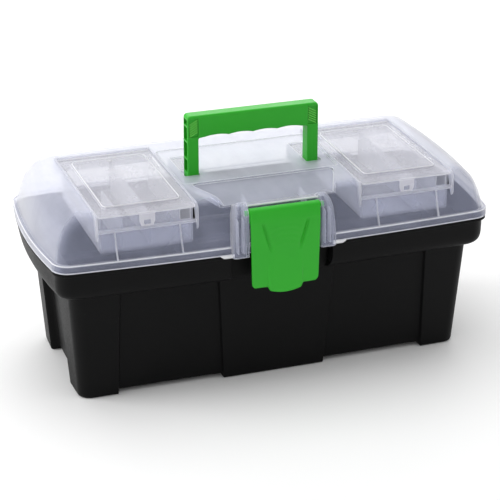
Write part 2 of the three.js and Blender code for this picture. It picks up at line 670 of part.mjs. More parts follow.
function tray() {
  const [lipLow, lipHigh] = TRAY_LIP_Z;
  const [endInset, sideInset] = TRAY_BODY_INSET;
  const hollow = trayBody(TRAY_WALL, TRAY_BOTTOM + TRAY_WALL, lipHigh + 2);
  const shell = trayBody(0, TRAY_BOTTOM, lipHigh).subtract(hollow);
  const lip = loft([[lipLow, TRAY_LIP_INSET], [lipHigh, TRAY_LIP_INSET]])
    .subtract(loft([[lipLow - 1, endInset + 1, sideInset + 1], [lipHigh + 1, endInset + 1, sideInset + 1]]));
  const latchRelief = box(
    -RELIEF_HALF - 6, RELIEF_HALF + 6, -DEPTH, -DEPTH / 2 + sideInset, lipLow - 1, lipHigh + 1,
  );
  const plateBack = -TRAY_GRIP_PLATE / 2 - GAP;
  const partition = box(
    TRAY_PARTITION_X - 0.9, TRAY_PARTITION_X + 0.9, -DEPTH / 2 + 24, plateBack, TRAY_BOTTOM + 1, lipHigh - 6,
  );
  const inside = trayBody(TRAY_WALL - 0.5, TRAY_BOTTOM + 1, lipHigh);
  return join(shell, lip.subtract(latchRelief), bothSides(partition).intersect(inside));
}

// The plate that stands across the tray's length and carries the grip bar over a finger hole.
function trayGrip() {
  const plateTop = TRAY_LIP_Z[1] - 4;
  const reach = LENGTH / 2 - TRAY_BODY_INSET[0] - 2;
  const bottom = TRAY_BOTTOM + TRAY_WALL + GAP;
  const half = TRAY_GRIP_HALF;
  const plate = plateXZ([
    [-reach, bottom],
    [reach, bottom],
    [reach, plateTop],
    [half + 14, plateTop],
    [half, TRAY_GRIP_TOP - 4],
    [half - 4, TRAY_GRIP_TOP],
    [-half + 4, TRAY_GRIP_TOP],
    [-half, TRAY_GRIP_TOP - 4],
    [-half - 14, plateTop],
    [-reach, plateTop],
  ], -TRAY_GRIP_PLATE / 2, TRAY_GRIP_PLATE / 2);
  const inTray = trayBody(TRAY_WALL + GAP, bottom, TRAY_LIP_Z[1]);
  const overTray = box(-half - 28, half + 28, -2, 2, plateTop - 10, TRAY_GRIP_TOP + 1);
  const bar = box(-half + 4, half - 4, -5, 5, TRAY_GRIP_TOP - 3, TRAY_GRIP_TOP);
  const fingers = box(-half + 12, half - 12, -10, 10, TRAY_GRIP_TOP - 24, TRAY_GRIP_TOP - 5);
  return plate.intersect(inTray.add(overTray)).add(bar).subtract(fingers);
}

// ---- assembly ----

const BLACK = 0x1b1b1c;
const GREEN = 0x3cae2e;
const FROSTED = 0xe4e6ee;
const BACK_GAP = WELL_BACK - WELL_WALL - GAP;
const FRONT_GAP = WELL_FRONT + WELL_WALL + GAP;

const cover = organiserCover();
const pin = hingePin();
const toolbox = new THREE.Group();
toolbox.add(
  part('body_tub', tub(), BLACK, 0.55),
  part('main_lid', lid(), FROSTED, 0.4, 0.45),
  part('hinge_pin_left', mirrored(pin), BLACK, 0.5),
  part('hinge_pin_right', pin, BLACK, 0.5),
  part('organiser_cover_left', mirrored(cover), FROSTED, 0.3, 0.4),
  part('organiser_cover_right', cover, FROSTED, 0.3, 0.4),
  part('organiser_divider_left_long', divider(-111.5, FRONT_GAP, BACK_GAP), FROSTED, 0.4, 0.45),
  part('organiser_divider_left_short', divider(-136, FRONT_GAP, -12), FROSTED, 0.4, 0.45),
  part('organiser_divider_right_long', divider(125.5, FRONT_GAP, BACK_GAP), FROSTED, 0.4, 0.45),
  part('carry_handle', handle(), GREEN, 0.45),
  part('front_latch', latch(), GREEN, 0.45),
  part('lift_out_tray', tray(), BLACK, 0.55),
  part('tray_grip', trayGrip(), BLACK, 0.55),
);

export default toolbox;
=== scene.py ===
import json
import math

import bmesh
import bpy
import numpy as np
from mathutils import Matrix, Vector


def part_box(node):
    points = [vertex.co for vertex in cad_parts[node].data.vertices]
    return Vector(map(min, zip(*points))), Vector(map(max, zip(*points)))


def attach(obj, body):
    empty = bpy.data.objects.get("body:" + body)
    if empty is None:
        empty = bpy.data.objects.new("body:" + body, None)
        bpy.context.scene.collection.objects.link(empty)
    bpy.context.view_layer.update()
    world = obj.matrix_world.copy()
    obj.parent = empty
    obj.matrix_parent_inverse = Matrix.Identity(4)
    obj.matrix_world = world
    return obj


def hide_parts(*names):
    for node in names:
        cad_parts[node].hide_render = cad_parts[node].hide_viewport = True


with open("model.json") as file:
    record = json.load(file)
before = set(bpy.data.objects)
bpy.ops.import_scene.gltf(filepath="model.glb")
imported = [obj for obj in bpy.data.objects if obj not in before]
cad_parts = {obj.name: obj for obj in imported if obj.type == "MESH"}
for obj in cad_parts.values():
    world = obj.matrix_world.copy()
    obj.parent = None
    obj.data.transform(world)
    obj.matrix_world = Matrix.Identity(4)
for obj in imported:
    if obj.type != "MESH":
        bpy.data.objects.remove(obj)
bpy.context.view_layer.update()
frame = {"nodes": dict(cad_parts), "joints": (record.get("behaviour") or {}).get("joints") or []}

# Shapes are drawn in millimetres and become metres when their mesh is made. Angles are in degrees.
MM = 0.001
BEVEL_ANGLE = 40.0  # edges sharper than this are rounded
SHARP_ANGLE = 32.0  # edges sharper than this are shaded as edges
PIN_SHARP_ANGLE = 40.0


def node_box(node):
    """Lowest and highest corner of a CAD node, in millimetres."""
    low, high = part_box(node)
    return np.array(low) / MM, np.array(high) / MM


def joint_axis(name):
    """Y and Z of a hinge that turns about X, in millimetres."""
    joint = next(j for j in frame["joints"] if j["name"] == name)
    return joint["pos_m"][1] / MM, joint["pos_m"][2] / MM


TUB_HIGH = node_box("body_tub")[1]
LID_LOW, LID_HIGH = node_box("main_lid")
COVER_LOW, COVER_HIGH = node_box("organiser_cover_right")
HANDLE_LOW, HANDLE_HIGH = node_box("carry_handle")
LATCH_LOW = node_box("front_latch")[0]
TRAY_LOW, TRAY_HIGH = node_box("lift_out_tray")
GRIP_LOW, GRIP_HIGH = node_box("tray_grip")
PIN_LOW, PIN_HIGH = node_box("hinge_pin_right")
HINGE_AXIS = joint_axis("lid_hinge")
HANDLE_AXIS = joint_axis("handle_fold")
LATCH_AXIS = joint_axis("latch_swing")
COVER_AXIS = joint_axis("cover_right_hinge")

# Plan of the box: a rectangle with bowed sides and round corners, given by how far it lies inside the flange.
LENGTH = LID_HIGH[0] - LID_LOW[0]
DEPTH = 183.0
BOW_END = 5.5
BOW_SIDE = 6.0
CORNER_RADIUS = 15.0
BOW_FADE = 30.0  # inset at which the bow has died away

# Tub
SPLIT_Z = HINGE_AXIS[1]
RIM_TOP = TUB_HIGH[2]
FOOT_INSET = 23.0
WALL_TOP_INSET = 15.0
WALL_TOP_Z = 98.0
WALL_END_INSET = 2.5  # the wall stands this much further in at the two ends
WALL = 2.2
NOTCH = 3.5  # how far the wall's edge is raised between the feet
NOTCH_FADE_Z = 12.0
SIDE_SINK = 3.0  # depth of the sunk panels
END_SINK = 7.5
FLOOR_Z = 6.0
RELIEF_INSET = 12.5  # the band's inset behind the latch

# Lid
STEP_Z = SPLIT_Z + 7.4
LID_TOP = 172.0
LID_WALL = 2.0
COVER_X = (COVER_LOW[0] + COVER_HIGH[0]) / 2
COVER_HALF = 41.6
COVER_Z = 169.6
WELL_FRONT = -79.0
WELL_BACK = 54.0
WELL_BOTTOM = 137.5
WELL_WALL = 1.6
LEDGE_Z = 158.0
BRIDGE_Z = 171.0
BRIDGE_HALF = 70.5
BRIDGE_BACK = 50.0
SLOPE_TOP = (-35.0, 170.2)
SLOPE_FOOT = (-85.0, 165.5)
SLOPE_PITCH = (SLOPE_TOP[1] - SLOPE_FOOT[1]) / (SLOPE_TOP[0] - SLOPE_FOOT[0])
CHEEK_X = (31.8, 46.0)
PORCH_BOTTOM = 124.6
PORCH_FRONT = LID_LOW[1]
PORCH_SHOULDER_Z = 158.0
PORCH_TOP_Y = -86.0
LATCH_BORE = 2.8
SLOT_X = (48.6, 62.5)
SLOT_Y = (-15.2, 33.5)
ABOVE = LID_TOP + 4.0  # clear of everything in the lid


# ---- shapes: each is (points in millimetres, faces) ----


def smoothstep(t):
    t = np.clip(t, 0.0, 1.0)
    return t * t * (3.0 - 2.0 * t)


def arc(centre, radius, start, end, steps):
    """Points on an arc."""
    angles = np.radians(np.linspace(start, end, steps + 1))
    return [(centre[0] + radius * math.cos(a), centre[1] + radius * math.sin(a)) for a in angles]


def rounded(points, radius, steps=5):
    """A polygon with its corners rounded; radius is one number or one for each corner."""
    count = len(points)
    radii = [radius] * count if isinstance(radius, (int, float)) else radius
    result = []
    for i, corner in enumerate(points):
        corner = np.array(corner, float)
        before = np.array(points[i - 1], float) - corner
        after = np.array(points[(i + 1) % count], float) - corner
        length_before, length_after = np.linalg.norm(before), np.linalg.norm(after)
        before, after = before / length_before, after / length_after
        opening = math.acos(np.clip(before @ after, -1.0, 1.0))
        if radii[i] < 1e-6 or opening > math.radians(176.0):
            result.append(tuple(corner))
            continue
        reach = min(radii[i] / math.tan(opening / 2), 0.49 * length_before, 0.49 * length_after)
        start, end = corner + before * reach, corner + after * reach
        for t in np.linspace(0.0, 1.0, steps + 1):
            result.append(tuple((1 - t) ** 2 * start + 2 * t * (1 - t) * corner + t * t * end))
    return result


def rect(x0, x1, y0, y1):
    return [(x0, y0), (x1, y0), (x1, y1), (x0, y1)]


def disc(centre, radius, sides):
    return arc(centre, radius, 0, 360, sides)[:-1]


def reflected(points):
    """Points of an outline mirrored about its middle, in the order that carries on round it."""
    return [(-x, y) for x, y in reversed(points)]


def loft(rings, closed=False):
    """Rings of equal count joined by quads: capped flat or, if `closed`, the last one joined to the first."""
    count, rows = len(rings[0]), len(rings)
    points = [tuple(map(float, p)) for ring in rings for p in ring]
    faces = []
    for row in range(rows if closed else rows - 1):
        a, b = row * count, (row + 1) % rows * count
        faces += [(a + i, a + (i + 1) % count, b + (i + 1) % count, b + i) for i in range(count)]
    if not closed:
        faces.append(tuple(reversed(range(count))))
        faces.append(tuple(range(len(points) - count, len(points))))
    return points, faces


def join(*shapes):
    points, faces = [], []
    for more_points, more_faces in shapes:
        base = len(points)
        points += more_points
        faces += [tuple(base + i for i in face) for face in more_faces]
    return points, faces


def mirrored(shape):
    points, faces = shape
    return [(-x, y, z) for x, y, z in points], [tuple(reversed(face)) for face in faces]


def both_sides(shape):
    return join(shape, mirrored(shape))


def to_bmesh(shape):
    bm = bmesh.new()
    verts = [bm.verts.new(p) for p in shape[0]]
    made = set()
    for face in shape[1]:
        corners = frozenset(face)
        if len(corners) > 2 and corners not in made:
            made.add(corners)
            bm.faces.new([verts[i] for i in face])
    bmesh.ops.remove_doubles(bm, verts=bm.verts, dist=1e-4)
    bmesh.ops.recalc_face_normals(bm, faces=bm.faces)
    return bm


def bevelled(shape, width):
    """Rounds every sharp edge of a shape."""
    bm = to_bmesh(shape)
    sharp = [e for e in bm.edges if e.is_manifold and e.calc_face_angle() > math.radians(BEVEL_ANGLE)]
    bmesh.ops.bevel(bm, geom=sharp, offset=width, segments=3, profile=0.5, affect="EDGES", clamp_overlap=True)
    bm.verts.index_update()
    bm.verts.ensure_lookup_table()
    result = [tuple(v.co) for v in bm.verts], [tuple(v.index for v in f.verts) for f in bm.faces]
    bm.free()
    return result


AXES = {"x": (1, 2, 0), "y": (0, 2, 1), "z": (0, 1, 2)}


def prism(outline, axis, low, high, bevel=0.0):
    """An outline drawn across `axis`, extruded from low to high, with its edges rounded."""
    first, second, along = AXES[axis]
    rings = []
    for level in (low, high):
        ring = []
        for a, b in outline:
            p = [0.0, 0.0, 0.0]
            p[first], p[second], p[along] = a, b, level
            ring.append(tuple(p))
        rings.append(ring)
    shape = loft(rings)
    return bevelled(shape, bevel) if bevel else shape


def block(x0, x1, y0, y1, z0, z1, bevel=0.0):
    return prism(rect(x0, x1, y0, y1), "z", z0, z1, bevel)


def rod(x0, x1, centre, radius, chamfer=0.3, sides=40):
    """A round bar along X with softened ends."""
    rows = [(x0, radius - chamfer), (x0 + chamfer * 0.3, radius - chamfer * 0.3), (x0 + chamfer, radius)]
    rows += [(x1 - chamfer, radius), (x1 - chamfer * 0.3, radius - chamfer * 0.3), (x1, radius - chamfer)]
    return loft([[(x, y, z) for y, z in disc(centre, r, sides)] for x, r in rows])


def make_mesh(name, shape, scale=1.0):
    bm = to_bmesh(shape)
    bmesh.ops.scale(bm, vec=(scale, scale, scale), verts=bm.verts)
    mesh = bpy.data.meshes.new(name)
    bm.to_mesh(mesh)
    bm.free()
    return mesh


def add_object(name, data):
    obj = bpy.data.objects.new(name, data)
    bpy.context.scene.collection.objects.link(obj)
    return obj


def combine(shape, other, operation):
    """A Boolean of two closed shapes."""
    pair = [add_object("operand", make_mesh("operand", source)) for source in (shape, other)]
    modifier = pair[0].modifiers.new("boolean", "BOOLEAN")
    modifier.operation = operation
    modifier.solver = "EXACT"
    modifier.object = pair[1]
    made = pair[0].evaluated_get(bpy.context.evaluated_depsgraph_get()).to_mesh()
    result = [tuple(v.co) for v in made.vertices], [tuple(p.vertices) for p in made.polygons]
    for obj in pair:
        mesh = obj.data
        bpy.data.objects.remove(obj)
        bpy.data.meshes.remove(mesh)
    return result


def cut(shape, *tools):
    for tool in tools:
        shape = combine(shape, tool, "DIFFERENCE")
    return shape


def unite(shape, *others):
    for other in others:
        shape = combine(shape, other, "UNION")
    return shape


def common(shape, other):
    return combine(shape, other, "INTERSECT")


def piece(name, shape, material, body, node):
    """Makes the Blender object of a shape, rides it on its body and hides the CAD node, if any, that it stands for.
    """
    mesh = make_mesh(name, shape, MM)
    mesh.shade_smooth()
    mesh.set_sharp_from_angle(angle=math.radians(SHARP_ANGLE))
    mesh.materials.append(material)
    obj = add_object(name, mesh)
    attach(obj, body)
    if node:
        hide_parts(node)


# ---- plan of the box ----


def plan(inset_x, inset_y):
    """Half sizes, bows, corner radius and corner centres of the outline at an inset."""
    inset = min(inset_x, inset_y)
    fade = max(0.2, 1.0 - inset / BOW_FADE)
    bow_x, bow_y = BOW_END * fade, BOW_SIDE * fade
    half_x, half_y = LENGTH / 2 - inset_x, DEPTH / 2 - inset_y
    radius = CORNER_RADIUS - 0.2 * min(inset, 25.0)
    return half_x, half_y, bow_x, bow_y, radius, half_x - bow_x - radius, half_y - bow_y - radius


def plan_ring(inset_x, inset_y, z, side_steps=36, end_steps=16, corner_steps=10):
    """The outline at one height, anticlockwise from the front left corner."""
    half_x, half_y, bow_x, bow_y, radius, cx, cy = plan(inset_x, inset_y)
    ring = []
    for quarter, (sx, sy, start) in enumerate(((1, -1, 270), (1, 1, 0), (-1, 1, 90), (-1, -1, 180))):
        if quarter % 2 == 0:
            ts = np.linspace(-1, 1, side_steps + 1)[1:-1]
            ring += [(sx * cx * t, sy * (half_y - bow_y * t * t), z) for t in ts]
        else:
            ts = np.linspace(-1, 1, end_steps + 1)[1:-1]
            ring += [(sx * (half_x - bow_x * t * t), sy * cy * t, z) for t in ts]
        ring += [(x, y, z) for x, y in arc((sx * cx, sy * cy), radius, start, start + 90, corner_steps)]
    return ring


def plan_loft(rows, **steps):
    """Rows of (z, inset_x, inset_y) and, where the back stands further out, by how much."""
    rings = []
    for z, ix, iy, *back in rows:
        stretch = 1.0 + (back[0] if back else 0.0) / (DEPTH / 2)
        rings.append([(x, y * stretch if y > 0 else y, z) for x, y, z in plan_ring(ix, iy, z, **steps)])
    return loft(rings)


def spline_rows(rows, per_span=5):
    """Catmull-Rom curve through rows of numbers."""
    pts = [np.array(r, float) for r in rows]
    pts = [2 * pts[0] - pts[1]] + pts + [2 * pts[-1] - pts[-2]]
    result = []
    for i in range(1, len(pts) - 2):
        a, b, c, d = pts[i - 1 : i + 3]
        for t in np.arange(per_span) / per_span:
            result.append(
                0.5 * (2 * b + (c - a) * t + (2 * a - 5 * b + 4 * c - d) * t**2 + (3 * b - a - 3 * c + d) * t**3)
            )
    result.append(pts[-2])
    return [tuple(r) for r in result]


# ---- tub ----

POST_EDGE = ((0.0, 46.5), (WALL_TOP_Z, 52.5))  # z and x of the middle post's edge
CORNER_POST_EDGE = ((0.0, 140.0), (WALL_TOP_Z, 138.0))
END_PANEL_EDGE = ((0.0, 34.0), (WALL_TOP_Z, 31.0))
RELIEF_EDGE = ((0.0, 38.0), (94.0, 41.0), (109.0, 45.0))


def track(edge, z):
    return float(np.interp(z, [p[0] for p in edge], [p[1] for p in edge]))


def step_columns(edge, width, **weights):
    """Columns across an edge; each weight runs smoothly from its first value to its second."""
    columns = []
    for k in range(7):
        t = k / 6
        made = {"edge": edge, "offset": width * (t - 0.5), "toward": 0.0}
        made.update({name: a + (b - a) * float(smoothstep(t)) for name, (a, b) in weights.items()})
        columns.append(made)
    return columns


def tub_columns():
    """Columns of half a long side and half an end, from the middle outwards."""

    def plain(edge, toward=0.0, **weights):
        return {"edge": edge, "offset": 0.0, "toward": toward, **weights}

    middle = [plain(((0.0, x),), relief=1.0, foot=1.0) for x in (0.0, 7.0, 14.0, 21.0, 28.0, 34.0)]
    side = middle + step_columns(RELIEF_EDGE, 1.6, relief=(1.0, 0.0), foot=(1.0, 1.0))
    side += step_columns(POST_EDGE, 1.8, sink=(0.0, 1.0), foot=(1.0, 0.0))
    for share in np.arange(1, 9) / 9:
        between = tuple(
            (z, track(POST_EDGE, z) * (1 - share) + track(CORNER_POST_EDGE, z) * share) for z in (0.0, WALL_TOP_Z)
        )
        side.append(plain(between, sink=1.0))
    side += step_columns(CORNER_POST_EDGE, 1.8, sink=(1.0, 0.0), foot=(0.0, 1.0))
    side += [plain(CORNER_POST_EDGE, toward=share, foot=1.0) for share in (0.3, 0.65)]
    end = [plain(((0.0, y),), sink=1.0) for y in (0.0, 8.0, 16.0, 24.0)]
    end += step_columns(END_PANEL_EDGE, 3.4, sink=(1.0, 0.0), foot=(0.0, 1.0))
    end += [plain(END_PANEL_EDGE, toward=share, foot=1.0) for share in (0.3, 0.65)]
    return side, end


SIDE_COLUMNS, END_COLUMNS = tub_columns()
TUB_CORNER_STEPS = 12


def tub_ring(z, inset, sink=1.0, relief_inset=None):
    """One row of the tub; `sink` scales the sunk panels and relief_inset is the inset behind the latch."""
    end_inset = inset + WALL_END_INSET * float(smoothstep((inset - 6.0) / 8.0))
    half_x, half_y, bow_x, bow_y, radius, cx, cy = plan(end_inset, inset)
    lift = NOTCH * max(0.0, 1.0 - z / NOTCH_FADE_Z)

    def side(columns, centre, half, bow, sunk, relief=0.0):
        """(along, out, z) of a side, from end to end."""
        halves = []
        for column in columns:
            at = track(column["edge"], z) + column["offset"]
            at = min(at + (centre - at) * column["toward"], centre)
            out = half - bow * (at / centre) ** 2 - sunk * sink * column.get("sink", 0.0)
            out -= relief * column.get("relief", 0.0)
            halves.append((at, out, z + lift * (1.0 - column.get("foot", 0.0))))
        return [(-at, out, h) for at, out, h in reversed(halves[1:])] + halves

    def long_side(sy):
        relief = relief_inset - inset if relief_inset is not None and sy < 0 else 0.0
        return [(x, sy * y, h) for x, y, h in side(SIDE_COLUMNS, cx, half_y, bow_y, SIDE_SINK, relief)]

    def end_side(sx):
        return [(sx * x, y, h) for y, x, h in side(END_COLUMNS, cy, half_x, bow_x, END_SINK)]

    ring = long_side(-1)
    for sx, sy, start, following in (
        (1, -1, 270, end_side(1)), (1, 1, 0, long_side(1)[::-1]), (-1, 1, 90, end_side(-1)[::-1]), (-1, -1, 180, []),
    ):
        ring += [(x, y, z) for x, y in arc((sx * cx, sy * cy), radius, start, start + 90, TUB_CORNER_STEPS)]
        ring += following
    return ring


def wall_inset(z):
    return FOOT_INSET + (WALL_TOP_INSET - FOOT_INSET) * z / WALL_TOP_Z


def tub_shell():
    rows = [(NOTCH, 44.0, 0.0, None), (0.4, 43.4, 1.0, None), (0.0, 43.0, 1.0, None)]
    fillet = 2.6
    for k in range(6):
        a = math.radians(18.0 * k)
        z = fillet * (1 - math.cos(a))
        rows.append((z, wall_inset(z) + fillet * (1 - math.sin(a)), 1.0, None))
    heights = (5.0, 8.5, 12.0, 20.0, 32.0, 44.0, 56.0, 68.0, 80.0, 89.0, 94.0)
    rows += [(z, wall_inset(z), 1.0, None) for z in heights]
    rows += [(96.6, 15.2, 1.0, None), (97.6, 15.0, 1.0, None), (98.1, 14.7, 1.0, None)]
    # the band: its rolled lower edge, its face, the recess under the lip, the lip and the rim
    rows += [(98.4, 13.9, 0.6, 13.9), (98.7, 12.4, 0.0, 13.2), (99.2, 10.6, 0.0, 12.8), (100.0, 8.6, 0.0, 12.6)]
    face = ((101.2, 6.9), (102.8, 5.5), (104.8, 4.5), (107.2, 3.9), (110.0, 3.6), (116.0, 3.45), (121.6, 3.35))
    rows += [(z, inset, 0.0, RELIEF_INSET) for z, inset in face]
    rows += [(122.3, 3.2, 0.0, 12.3), (122.7, 2.7, 0.0, 11.6), (122.9, 1.6, 0.0, 6.0), (123.0, 0.9, 0.0, 0.95)]
    lip = ((123.3, 0.5), (125.2, 0.4), (125.5, 0.55), (125.65, 1.0), (125.7, 2.8), (125.9, 3.3), (126.4, 3.5))
    rim = ((-0.7, 3.7), (-0.2, 3.9), (0.0, 4.3), (0.0, 5.2), (-0.2, 5.6), (-0.7, 5.75))
    rows += [(z, inset, 0.0, None) for z, inset in (*lip, *((RIM_TOP + dz, inset) for dz, inset in rim))]
    # the inside: rim, ledge for the tray, wall and floor
    rows += [(124.0, 5.8, 0.0, 5.9), (122.0, 5.8, 0.0, 13.5), (120.5, 5.8, 0.0, 14.6), (104.0, 5.9, 0.0, 14.8)]
    rows += [(102.8, 6.2, 0.0, 15.0), (102.3, 7.0, 0.0, 15.2), (102.3, 16.4, 0.0, None), (101.9, 17.2, 0.0, None)]
    rows += [(z, wall_inset(z) + WALL, min(1.0, (101.0 - z) / 3.0), None) for z in (100.5, 98.0, 94.0)]
    rows += [(z, wall_inset(z) + WALL, 1.0, None) for z in (80.0, 60.0, 40.0, 20.0, 9.5)]
    rows += [(FLOOR_Z + 1.2, wall_inset(8.0) + WALL + 1.0, 1.0, None), (FLOOR_Z, 29.5, 0.7, None)]
    return loft([tub_ring(z, inset, sink, relief) for z, inset, sink, relief in rows])


def knuckle(x0, x1, bracket):
    """A hinge barrel with the web that carries it."""
    return unite(rod(x0, x1, HINGE_AXIS, KNUCKLE_RADIUS), prism(bracket, "x", x0, x1, 0.4))


PIN_HEAD = 1.1
HINGE_X = (PIN_LOW[0] + PIN_HIGH[0] - PIN_HEAD) / 2
LID_KNUCKLE = 11.0
TUB_KNUCKLE = 10.0
KNUCKLE_GAP = 0.3
KNUCKLE_RADIUS = 4.1
PIN_BORE = 2.2


def bored(shape):
    """Cuts the hinge pin's hole."""
    return cut(shape, rod(HINGE_X - 40, HINGE_X + 40, HINGE_AXIS, PIN_BORE, sides=24))


def tub_knuckles():
    y, z = HINGE_AXIS
    bracket = [(y - 7.4, z - 16), (y - 3, z - 16), (y + 3.8, z - 1), (y + 0.5, z + 1)]
    bracket += [(y - 1.6, z - 0.5), (y - 7.4, z - 0.5)]
    inner = LID_KNUCKLE + KNUCKLE_GAP
    starts = (HINGE_X - inner - TUB_KNUCKLE, HINGE_X + inner)
    return both_sides(bored(join(*[knuckle(x, x + TUB_KNUCKLE, bracket) for x in starts])))


# ---- lid ----

# z, inset at the ends, inset at the sides and how much less it is at the back: a drafted wall that rolls over
# into a shallow crown
LID_PROFILE = (
    (STEP_Z + 0.6, 4.0, 3.05, 0.0),
    (146.0, 7.6, 6.6, 0.8),
    (157.0, 12.8, 10.4, 2.6),
    (163.5, 18.4, 12.6, 4.0),
    (168.2, 23.6, 14.4, 5.0),
    (170.4, 27.6, 18.0, 5.5),
    (171.6, 32.0, 24.0, 5.8),
    (LID_TOP, 38.0, 32.0, 6.0),
)


def lid_outside():
    flange = [(SPLIT_Z + dz, inset, inset) for dz, inset in ((0.0, 1.0), (0.08, 0.5), (0.4, 0.12), (1.0, 0.0))]
    flange += [(STEP_Z - dz, inset, inset) for dz, inset in ((1.2, 0.1), (0.5, 0.25), (0.15, 0.6), (0.0, 1.1))]
    flange += [(STEP_Z, 3.0, 2.2), (STEP_Z + 0.12, 3.6, 2.75)]
    dome = [(min(z, LID_TOP), *insets) for z, *insets in spline_rows(LID_PROFILE)]
    return plan_loft(flange + dome)


def lid_inside():
    dome = []
    for i, (z, ix, iy, back) in enumerate(LID_PROFILE[1:], 1):
        lean = i / (len(LID_PROFILE) - 1)
        grow = LID_WALL * (1.0 - 0.45 * lean)
        dome.append((z - LID_WALL * lean, ix + grow, iy + grow, back))
    flange = [(SPLIT_Z - 1, LID_WALL, LID_WALL), (STEP_Z - 1.8, LID_WALL, LID_WALL), (STEP_Z - 1.5, 6.0, 5.0)]
    return plan_loft(flange + spline_rows([(STEP_Z, 6.1, 5.05, 0.0)] + dome))


def bridge_cut(drop):
    """What is cut away above the handle bridge and the front slope; `drop` lowers it."""
    (top_y, top_z), (foot_y, foot_z) = SLOPE_TOP, SLOPE_FOOT
    high, front = LID_TOP + 8, foot_y - 14
    side = [(front, foot_z - 14 * SLOPE_PITCH - drop), (top_y, top_z - drop), (top_y, high), (front, high)]
    narrow, wide = 46 + drop, 66 + drop
    wedge = [(-narrow, front), (narrow, front), (narrow, foot_y), (wide, top_y + drop), (-wide, top_y + drop)]
    wedge = rounded(wedge + [(-narrow, foot_y)], [0, 0, 14, 7, 7, 14])
    slope = common(prism(side, "x", -90, 90), prism(wedge, "z", LID_TOP - 20, high))
    bridge = rounded(rect(-BRIDGE_HALF, BRIDGE_HALF, top_y + 0.6, BRIDGE_BACK + drop), [3, 3, 6, 6])
    return slope, prism(bridge, "z", BRIDGE_Z - drop, high)


def porch_levels(shrink):
    """Outline of the right latch pillar at each height, round at its front corners."""
    inner, outer = CHEEK_X
    levels = []
    for z in (*np.linspace(PORCH_BOTTOM - shrink, 145, 6), 152.0, *np.linspace(PORCH_SHOULDER_Z, 170 - shrink, 9)):
        right = float(np.interp(z, (134, 158, 166, 171), (outer, outer - 2.2, outer - 4.5, outer - 8.0)))
        if z <= PORCH_SHOULDER_Z:
            front = float(np.interp(z, (145, PORCH_SHOULDER_Z), (PORCH_FRONT, PORCH_FRONT + 1.8)))
        else:
            rise = min(1.0, (z - PORCH_SHOULDER_Z) / (12.0 - shrink))
            reach = PORCH_TOP_Y - PORCH_FRONT - 1.8
            front = PORCH_TOP_Y - reach * math.sqrt(max(0.0, 1.0 - rise * rise)) - 0.4
        x0, x1, y0 = inner + shrink, right - shrink, front + shrink
        radius = max(0.4, 3.6 - shrink)
        corners = [(x0, -76), (x0, y0), (x1, y0), (x1, -76)]
        levels.append([(x, y, z) for x, y in rounded(corners, [0, radius * 0.55, radius, 0], 6)][::-1])
    return loft(levels)


def porch_cap(shrink):
    """Keeps the pillars under a line that runs down from their round shoulder to the slope behind."""
    outline = [(-110, 110), (-70, 110)]
    line = ((-70, 163.2), (-79, 166.0), (-83.5, 169.4), (-86, 171), (-110, 171))
    return prism(outline + [(y, z - shrink) for y, z in line], "x", -60, 60)


def lid_shell():
    skin = cut(lid_outside(), *bridge_cut(0.0))
    hollow = cut(lid_inside(), *bridge_cut(LID_WALL))
    pillar, pillar_hollow = (common(porch_levels(s), porch_cap(s)) for s in (0.0, LID_WALL - 0.2))
    inner = CHEEK_X[0]
    y, z = SLOPE_FOOT
    shelf = [(y - 1.6, SPLIT_Z + 6.2), (y + 0.4, SPLIT_Z + 6.2), (y + 0.4, z - 2.2), (-74, z - 1.2), (-74, z + 0.4)]
    shelf += [(y + 0.6, z), (y - 0.5, z + 1.1), (y - 0.7, z + 1.3), (y - 1.3, z + 1.3), (y - 1.5, z + 1.1)]
    skin = unite(skin, pillar, mirrored(pillar), prism(shelf, "x", -inner - 1, inner + 1))
    skin = cut(skin, unite(hollow, pillar_hollow, mirrored(pillar_hollow)))
    bay = unite(
        block(-inner, inner, -DEPTH, y - 1.6, STEP_Z, ABOVE),
        block(-inner, inner, -DEPTH, -DEPTH / 2 - 0.3, PORCH_BOTTOM - 4, ABOVE),
    )
    organiser = rounded(rect(COVER_X - 42, COVER_X + 42, -DEPTH, COVER_AXIS[0] + 3), [0, 0, 2, 2])
    organiser = prism(organiser, "z", LEDGE_Z, ABOVE)
    slot = prism(rounded(rect(*SLOT_X, *SLOT_Y), 1.2), "z", 150, ABOVE)
    bore = rod(-inner - 4, inner + 4, LATCH_AXIS, LATCH_BORE)
    return cut(skin, bay, organiser, mirrored(organiser), slot, mirrored(slot), bore)


def slope_lip():
    """The rolled edge that crosses the foot of the front slope, above the latch."""
    y, z = SLOPE_FOOT
    return prism(arc((y - 1.0, z + 1.4), 0.85, 0, 345, 23), "x", -CHEEK_X[0] + 0.1, CHEEK_X[0] - 0.1)


SLOPE_RIB_X = (25.4, 26.8)
SLOPE_RIB_Y = (-73.2, -58.0)
PILLAR_RIB_X = (35.6, 40.4)
PILLAR_RIB_THICK = 1.1


def slope_ribs():
    """Two upright plates inside the lid that stiffen the front slope."""
    front, back = SLOPE_RIB_Y
    under = [SLOPE_FOOT[1] - LID_WALL - 0.1 + SLOPE_PITCH * (y - SLOPE_FOOT[0]) for y in (back, front)]
    outline = [(front, 152.0), (front + 3.0, 149.0), (back, 158.0), (back, under[0]), (front, under[1])]
    return both_sides(prism(rounded(outline, [0.6, 2.0, 2.0, 0.0, 0.0]), "x", *SLOPE_RIB_X, 0.3))


def pillar_ribs():
    """Upright plates inside the latch pillars."""
    outline = rounded([(PORCH_FRONT + 2.2, 127.0), (-87.5, 127.0), (-87.5, 158.0), (PORCH_FRONT + 4.0, 156.0)], 0.5)
    return both_sides(join(*[prism(outline, "x", x, x + PILLAR_RIB_THICK, 0.25) for x in PILLAR_RIB_X]))


def around(radius):
    """Offsets (across, up) round a small bead."""
    return disc((0.0, 0.0), radius, 8)


